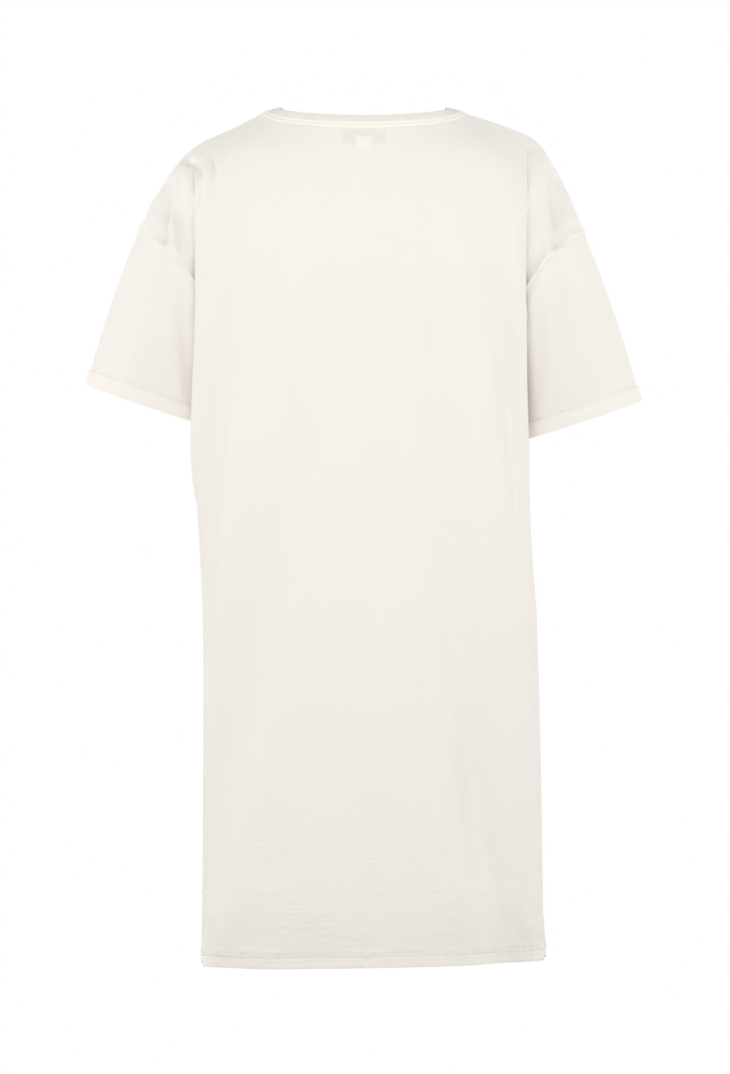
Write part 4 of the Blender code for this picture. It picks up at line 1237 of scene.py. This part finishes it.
def colour_setting(name, description, default):
    return FloatVectorProperty(
        name=name, description=description, size=3, subtype="COLOR", min=0, max=1, default=default)


def length_setting(name, description, default, low, high, precision=4):
    return FloatProperty(
        name=name, description=description, unit="LENGTH", min=low, max=high, precision=precision, default=default)


def factor_setting(name, description, default, high=1):
    return FloatProperty(name=name, description=description, subtype="FACTOR", min=0, max=high, default=default)


def power_setting(name, description, default):
    return FloatProperty(name=name, description=description, unit="POWER", min=0, max=500, default=default)


class DressCloth(PropertyGroup):
    """Colours and sizes of the cloth."""

    colour: colour_setting("Jersey colour", "Colour of the jersey", (0.920, 0.886, 0.853))
    # The rib's colour is partly its own and partly darkened as painted shade of the band leaning in at the neck
    rib_shaded_colour: colour_setting("Rib colour", "Colour of the rib neckband", (0.895, 0.868, 0.820))
    tape_colour: colour_setting("Label colour", "Colour of the blank label", (0.800, 0.790, 0.760))
    roughness: factor_setting("Roughness", "How matt the cloth is", 0.9)
    wall: length_setting("Cloth thickness", "Thickness of one layer of jersey", 0.0009, 0.0004, 0.0015)
    wale: length_setting("Stitch width", "Width of one column of knit", 0.0008, 0.0003, 0.003, 5)
    course: length_setting("Stitch height", "Height of one row of knit", 0.0006, 0.0003, 0.003, 5)
    relief: length_setting("Knit relief", "Height of the knit's loops", 0.00004, 0, 0.0005, 6)
    slub: factor_setting("Slub", "Strength of the thin streaks across the cloth", 1.0, 2)
    rib_pitch: length_setting("Rib pitch", "Width of one rib of the neckband", 0.0016, 0.0006, 0.006)


class DressThread(PropertyGroup):
    """Colour and sizes of the sewing."""

    colour: colour_setting("Thread colour", "Colour of the sewing thread", (0.995, 0.985, 0.950))
    pitch: length_setting("Pitch", "Distance from one stitch to the next", 0.0031, 0.0008, 0.01)
    length: length_setting("Length", "Length of one stitch", 0.0025, 0.0005, 0.01)
    width: length_setting("Width", "Thickness of the thread", 0.0009, 0.0001, 0.002)


class DressStage(PropertyGroup):
    """Floor and light."""

    floor_z: length_setting("Floor height", "Height of the floor below the dress", -1.55, -5, 0, 2)
    floor_radius: length_setting("Floor radius", "Radius of the pale floor", 5.0, 1, 8, 2)
    floor_colour: colour_setting("Floor colour", "Colour of the floor", (0.62, 0.62, 0.61))
    ambient: factor_setting("Ambient light", "Brightness of the light from all round", 0.915, 4)
    key_power: power_setting("Key light", "Power of the two soft lights behind the dress", 1.60)
    fill_power: power_setting("Fill light", "Power of the two soft lights before the dress", 1.60)
    side_share: factor_setting("Side light", "Power of each light at the side, as a share of the one beside it", 2.7, 8)


# ---------------------------------------------------------------- pieces of cloth

# How far the edge of the turned-up hem fades inside, and between which heights it shows outside
TURN_EDGE = 0.0006
TURN_SHOWS = (HEM_TURN - 0.0026, HEM_TURN - 0.0012)


class DRESS_OT_panels(Operator):
    """Makes the back and the front of the dress"""

    bl_idname = "dress.panels"
    bl_label = "Panels"

    def execute(self, context):
        wall = context.scene.dress_cloth.wall
        turned = (LEVELS > HEM_LEVELS[0] - 1e-9)[:, None, None]
        for front, name, sign, finish in ((False, "back", 1, "back"), (True, "front", -1, "jersey")):
            outer, broad, out = cloth_panel(front)
            up = from_edge(outer, 0, -1)[..., None]
            thick = wall * (1 + turned * (1 - step(up, HEM_TURN - TURN_EDGE, HEM_TURN + TURN_EDGE)))
            outer = pull_in(outer, rows=(0,), columns=(0, -1))
            inner = pull_in(broad, rows=(0,), columns=(0, -1)) - thick * out
            double = 1 - step(from_edge(outer, 0, -1), *TURN_SHOWS)
            double = np.maximum(double, allowances(outer))
            piece = cloth(f"{name}_cloth", outer, inner, False, sign, finishes()[finish], double)
            settle(piece, "jersey", name)
        return {"FINISHED"}


class DRESS_OT_sleeves(Operator):
    """Makes both sleeves"""

    bl_idname = "dress.sleeves"
    bl_label = "Sleeves"

    def execute(self, context):
        wall = context.scene.dress_cloth.wall
        for side, mirror in SIDES.items():
            outer, broad, out = cloth_sleeve(side)
            inner = pull_in(broad, rows=(0,)) - wall * out
            outer = pull_in(outer, rows=(0,))
            piece = cloth(f"sleeve_{side}_cloth", outer, inner, True, -mirror, finishes()["jersey"])
            settle(piece, "jersey", f"sleeve_{side}")
        return {"FINISHED"}


def cuff_surfaces(side):
    """The outer and inner surface of a cuff, with a groove where it is stitched down, and its normals."""
    outer, _, out = cloth_sleeve(side)
    under, out = outer[-CUFF_STEPS - 1:], out[-CUFF_STEPS - 1:]
    share = np.linspace(0, 1, CUFF_STEPS + 1)[:, None, None]
    rise = CUFF_WALL * (CUFF_EDGE + (1 - CUFF_EDGE) * arch(share)) - roll(share, CUFF_GROOVE)
    return under + (SEAM_GAP + rise) * out, under + SEAM_GAP * out, out


class DRESS_OT_cuffs(Operator):
    """Makes the turned-up cuff of each sleeve"""

    bl_idname = "dress.cuffs"
    bl_label = "Cuffs"

    def execute(self, context):
        for side, mirror in SIDES.items():
            outer, inner, _ = cuff_surfaces(side)
            piece = cloth(f"cuff_{side}_band", outer, inner, True, -mirror, finishes()["cuff"])
            settle(piece, "jersey", f"cuff_{side}")
        return {"FINISHED"}


class DRESS_OT_neck(Operator):
    """Makes the neck binding and the rib band"""

    bl_idname = "dress.neck"
    bl_label = "Neck"

    def execute(self, context):
        binding, band = neck_pieces()
        piece = cloth("neck_binding_strip", *binding, True, NECK_SIGN, finishes()["binding"])
        settle(piece, "jersey", "neck_binding")
        piece = cloth("neck_rib_band", *band, True, NECK_SIGN, finishes()["rib"])
        settle(piece, "rib", "neckband")
        return {"FINISHED"}


class DRESS_OT_label(Operator):
    """Makes the blank label inside the back of the neck"""

    bl_idname = "dress.label"
    bl_label = "Label"

    def execute(self, context):
        surface = label_surface(LABEL_ROWS, LABEL_COLUMNS)
        inward = -mitre(mean_normals(surface, False, 1))
        facing = surface + LABEL_BEHIND * inward
        beside = np.abs(np.linspace(-1, 1, LABEL_COLUMNS))[None, :, None]
        down = np.linspace(0, 1, LABEL_ROWS)[:, None, None]
        thin = LABEL_THIN * step(beside, *LABEL_ENDS) + roll(down, LABEL_CREASE)
        thick = LABEL_WALL * (1 - np.clip(thin, 0, LABEL_THINNEST))
        piece = cloth("neck_label_tape", facing + thick * inward, facing, False, -1, finishes()["tape"])
        settle(piece, "label_tape", "neck_label")
        return {"FINISHED"}


# ---------------------------------------------------------------- stitching

LIE = "lie"
STITCH_INPUTS = {"Geometry": "Geometry", "Pitch": "Float", "Length": "Float", "Width": "Float", "Slant": "Float",
                 "Thread": "Material"}


def stitch_tree():
    """A node tree that lays stitches along the lines of a mesh, flat on the cloth by the LIE attribute."""
    found = bpy.data.node_groups.get("stitch_run")
    if found:
        return found
    tree = bpy.data.node_groups.new("stitch_run", "GeometryNodeTree")
    for name, kind in STITCH_INPUTS.items():
        tree.interface.new_socket(name, in_out="INPUT", socket_type=f"NodeSocket{kind}")
    tree.interface.new_socket("Geometry", in_out="OUTPUT", socket_type="NodeSocketGeometry")
    nodes = Nodes(tree)
    lines, pitch, length, width, slant, thread, _ = nodes.add("NodeGroupInput", output=None)
    line = nodes.add("GeometryNodeMeshToCurve", {}, {"Mesh": lines})
    line = nodes.add("GeometryNodeResampleCurve", {"mode": "LENGTH"}, {"Curve": line, "Length": pitch})
    ball = nodes.add("GeometryNodeMeshUVSphere", {}, {"Segments": 6, "Rings": 4, "Radius": 0.5})
    size = nodes.together(length, width, width)
    loop = nodes.add("GeometryNodeTransform", {}, {"Geometry": ball, "Scale": size})
    tangent = nodes.add("GeometryNodeInputTangent")
    lie = nodes.add("GeometryNodeInputNamedAttribute", {"data_type": "FLOAT_VECTOR"}, {"Name": LIE})
    turn = nodes.add("FunctionNodeAlignRotationToVector", {"axis": "X"}, {"Vector": tangent})
    turn = nodes.add("FunctionNodeAlignRotationToVector", {"axis": "Z", "pivot_axis": "X"},
                     {"Rotation": turn, "Vector": lie})
    index = nodes.add("GeometryNodeInputIndex")
    angle = (nodes.maths("MODULO", index, 2.0) * 2.0 - 1.0) * slant
    spin = nodes.add("FunctionNodeAxisAngleToRotation", {}, {"Axis": (0, 0, 1), "Angle": angle})
    turn = nodes.add("FunctionNodeRotateRotation", {"rotation_space": "LOCAL"}, {0: turn, 1: spin})
    laid = nodes.add("GeometryNodeInstanceOnPoints", {}, {"Points": line, "Instance": loop, "Rotation": turn})
    real = nodes.add("GeometryNodeRealizeInstances", {}, {"Geometry": laid})
    smooth = nodes.add("GeometryNodeSetShadeSmooth", {}, {"Geometry": real})
    done = nodes.add("GeometryNodeSetMaterial", {}, {"Geometry": smooth, "Material": thread})
    nodes.add("NodeGroupOutput", {}, {"Geometry": done}, None)
    return tree


def stitches(name, lines, slant=0.0, pitch=1.0, length=1.0, width=1.0, closed=False):
    """Stitches along lines, each given as its points and their normals. pitch, length and width are shares of the
    scene's own. slant turns every second stitch the other way, in degrees."""
    own = bpy.context.scene.dress_thread
    points, lies, edges = [], [], []
    for line, lie in lines:
        start, count = len(points), len(line)
        points += line.tolist()
        lies += unit(lie).tolist()
        edges += [(start + n, start + (n + 1) % count) for n in range(count if closed else count - 1)]
    mesh = bpy.data.meshes.new(f"{name}_lines")
    mesh.from_pydata(points, edges, [])
    mesh.attributes.new(LIE, "FLOAT_VECTOR", "POINT").data.foreach_set("vector", np.array(lies).ravel())
    guide = place(f"{name}_lines", mesh)
    modifier = guide.modifiers.new("Stitches", "NODES")
    modifier.node_group = stitch_tree()
    values = {
        "Pitch": own.pitch * pitch,
        "Length": own.length * length,
        "Width": own.width * width,
        "Slant": float(np.radians(slant)),
        "Thread": finishes()["thread"],
    }
    for socket in modifier.node_group.interface.items_tree:
        if socket.in_out == "INPUT" and socket.name in values:
            modifier[socket.identifier] = values[socket.name]
    graph = bpy.context.evaluated_depsgraph_get()
    result = bpy.data.meshes.new_from_object(guide.evaluated_get(graph), depsgraph=graph)
    guide.modifiers.remove(modifier)
    bpy.data.objects.remove(guide)
    result.name = name
    if result.attributes.get(LIE):
        result.attributes.remove(result.attributes[LIE])
    return settle(place(name, result), "jersey")


def lifted(points, out, height=LIFT):
    """A line of points a little above the cloth, with its normals."""
    return points + height * unit(out), out


def on_back(places):
    """Points of the back's outer surface, left of its middle and low down, at some x and z, and the normals there."""
    outer, _, out = cloth_panel(False)
    part = slice(-TACK_ROWS, None), slice(len(HALF) - 1, None)
    found = []
    for x, z in places:
        rows = []
        for row in np.concatenate([outer[part], out[part]], axis=2):
            row = row[:int(np.argmax(row[:, 0])) + 1]
            rows.append([np.interp(x, row[:, 0], column) for column in row.T])
        rows = np.array(rows)[::-1]
        found.append([np.interp(z, rows[:, 2], column) for column in rows.T])
    found = np.array(found)
    return found[:, :3], found[:, 3:]


class DRESS_OT_stitches(Operator):
    """Sews the hem, the cuffs, the neck binding and the small tack at the left side seam"""

    bl_idname = "dress.stitches"
    bl_label = "Stitches"

    def execute(self, context):
        panels = [cloth_panel(front) for front in (False, True)]
        upper, lower = [
            [lifted(outer[row, 1:-1], out[row, 1:-1], height) for outer, _, out in panels]
            for row, height in ((STITCH_ROW, ZIGZAG_LIFT), (STITCH_ROW + 3, LIFT))
        ]
        stitches("hem_zigzag", upper, slant=60, pitch=1.05, length=1.60, width=1.45)
        stitches("hem_stitches", lower, width=0.7)
        row = round(CUFF_STITCH * CUFF_STEPS)
        for side in SIDES:
            outer, _, out = cuff_surfaces(side)
            stitches(f"cuff_{side}_stitches", [lifted(outer[row], out[row])], width=0.8, closed=True)
        outer, inner = (surface[BINDING_STEPS // 2] for surface in neck_pieces()[0])
        stitches("neck_stitches", [lifted(outer, unit(outer - inner))], width=0.75, closed=True)
        stitches("side_tack", [lifted(*on_back(SIDE_TACK), TACK_LIFT)], slant=74, pitch=0.30, length=0.90)
        stitches("side_thread", [lifted(*on_back(SIDE_THREAD), THREAD_LIFT)], pitch=0.30, length=0.60)
        return {"FINISHED"}


# ---------------------------------------------------------------- stage

CAMERA = (-0.0005, 6.0, -0.4593)
SENSOR, VIEW_HEIGHT = 36.0, 1.146
# One light of each kind stands at each side, behind the dress and before it
NEAR_LIGHT = {"beside": 0.62, "away": 1.70, "z": -0.12, "size": 1.5, "spread": 100}
WIDE_LIGHT = {"beside": 2.3, "away": 0.9, "z": -0.10, "size": 1.8, "spread": 180}
WIDE_SHARE = {"left": 1.5, "right": 1.35}
LIGHTS_AIM = (0.0, 0.0, -0.22)
LIGHT_COLOUR, SKY_COLOUR = (1.0, 0.965, 0.985), (1.0, 1.01, 0.965, 1.0)
# How much of the light from all round comes from overhead, and the heights between which it fades
OVERHEAD, OVERHEAD_FROM = 0.70, (0.05, 0.95)
FLOOR_CORNERS = 96


class DRESS_OT_stage(Operator):
    """Places the floor, the soft light and the camera"""

    bl_idname = "dress.stage"
    bl_label = "Stage"

    def execute(self, context):
        own = context.scene.dress_stage
        self.floor(own)
        self.sky(context.scene, own)
        for facing, across, power in (("back", 1, own.key_power), ("front", -1, own.fill_power)):
            for side, mirror in SIDES.items():
                wide = power * own.side_share * WIDE_SHARE[side]
                self.light(f"near_{facing}_{side}", NEAR_LIGHT, mirror, across, power)
                self.light(f"wide_{facing}_{side}", WIDE_LIGHT, mirror, across, wide)
        self.camera(context.scene)
        return {"FINISHED"}

    def floor(self, own):
        turns = np.linspace(0, TURN, FLOOR_CORNERS, endpoint=False)
        points = [(own.floor_radius * np.cos(t), own.floor_radius * np.sin(t), own.floor_z) for t in turns]
        mesh = bpy.data.meshes.new("floor")
        mesh.from_pydata(points, [], [list(range(FLOOR_CORNERS))])
        finish = Finish("floor", own.floor_colour, 0.9)
        grain = finish.noise(finish.spots(), 3.0)
        tone = finish.mix(grain, shade(own.floor_colour, 0.99), shade(own.floor_colour, 1.01))
        mesh.materials.append(finish.done(tone))
        place("floor", mesh)

    def sky(self, scene, own):
        """A white backdrop for the camera, and soft light from all round for the dress."""
        scene.world = bpy.data.worlds.new("studio")
        scene.world.use_nodes = True
        nodes = Nodes(scene.world.node_tree)
        _, _, height = nodes.apart(nodes.add("ShaderNodeTexCoord"))
        level = nodes.between(height, *OVERHEAD_FROM, (own.ambient, own.ambient * OVERHEAD))
        around = nodes.add("ShaderNodeBackground", {}, {"Color": SKY_COLOUR, "Strength": level})
        backdrop = nodes.tree.nodes["Background"]
        nodes.feed(backdrop, {"Color": WHITE, "Strength": 1.0})
        seen = nodes.add("ShaderNodeLightPath")
        mixed = nodes.add("ShaderNodeMixShader", {}, {0: seen, 1: around, 2: Wire(nodes, backdrop.outputs[0])})
        nodes.feed(nodes.tree.nodes["World Output"], {"Surface": mixed})

    def light(self, name, kind, mirror, across, power):
        data = bpy.data.lights.new(name, "AREA")
        data.shape = "DISK"
        data.size = kind["size"]
        data.spread = np.radians(kind["spread"])
        data.energy = power
        data.color = LIGHT_COLOUR
        made = place(name, data)
        stand = (kind["beside"] * mirror, kind["away"] * across, kind["z"])
        x, y, z = np.array(LIGHTS_AIM) - np.array(stand)
        made.location = stand
        made.rotation_euler = (np.pi / 2 + np.arctan2(z, np.hypot(x, y)), 0, np.arctan2(y, x) - np.pi / 2)
        made.visible_camera = False

    def camera(self, scene):
        data = bpy.data.cameras.new("camera")
        data.sensor_width = SENSOR
        data.lens = SENSOR * CAMERA[1] / VIEW_HEIGHT
        scene.camera = place("camera", data)
        scene.camera.location = CAMERA
        scene.camera.rotation_euler = (np.pi / 2, 0, np.pi)


# ---------------------------------------------------------------- an empty step


class DRESS_OT_declare(Operator):
    """A step that does nothing"""

    bl_idname = "dress.declare"
    bl_label = "Cloth sizes"

    def execute(self, context):
        return {"FINISHED"}


# ---------------------------------------------------------------- panel and registration


class VIEW3D_PT_dress(Panel):
    """Lists the dress's settings and the steps that build it"""

    bl_label = "T-shirt Dress"
    bl_idname = "VIEW3D_PT_dress"
    bl_space_type = "VIEW_3D"
    bl_region_type = "UI"
    bl_category = "Dress"

    def draw(self, context):
        for name in GROUPS:
            group = getattr(context.scene, name)
            box = self.layout.box()
            for prop in group.bl_rna.properties:
                if prop.identifier not in ("rna_type", "name"):
                    box.prop(group, prop.identifier)
        for operator in OPERATORS:
            self.layout.operator(operator.bl_idname)


GROUPS = {"dress_cloth": DressCloth, "dress_thread": DressThread, "dress_stage": DressStage}
OPERATORS = (
    DRESS_OT_stage,
    DRESS_OT_panels,
    DRESS_OT_sleeves,
    DRESS_OT_cuffs,
    DRESS_OT_neck,
    DRESS_OT_label,
    DRESS_OT_stitches,
    DRESS_OT_declare,
)


def register():
    for kind in (*GROUPS.values(), *OPERATORS, VIEW3D_PT_dress):
        bpy.utils.register_class(kind)
    for name, kind in GROUPS.items():
        setattr(bpy.types.Scene, name, PointerProperty(type=kind))


def unregister():
    for name in GROUPS:
        delattr(bpy.types.Scene, name)
    for kind in (VIEW3D_PT_dress, *reversed(OPERATORS), *GROUPS.values()):
        bpy.utils.unregister_class(kind)


def main():
    register()
    bpy.context.scene.view_settings.view_transform = "Standard"
    bpy.ops.dress.stage()
    bpy.ops.dress.panels()
    bpy.ops.dress.sleeves()
    bpy.ops.dress.cuffs()
    bpy.ops.dress.neck()
    bpy.ops.dress.label()
    bpy.ops.dress.stitches()
    bpy.ops.dress.declare()


if __name__ == "__main__":
    main()
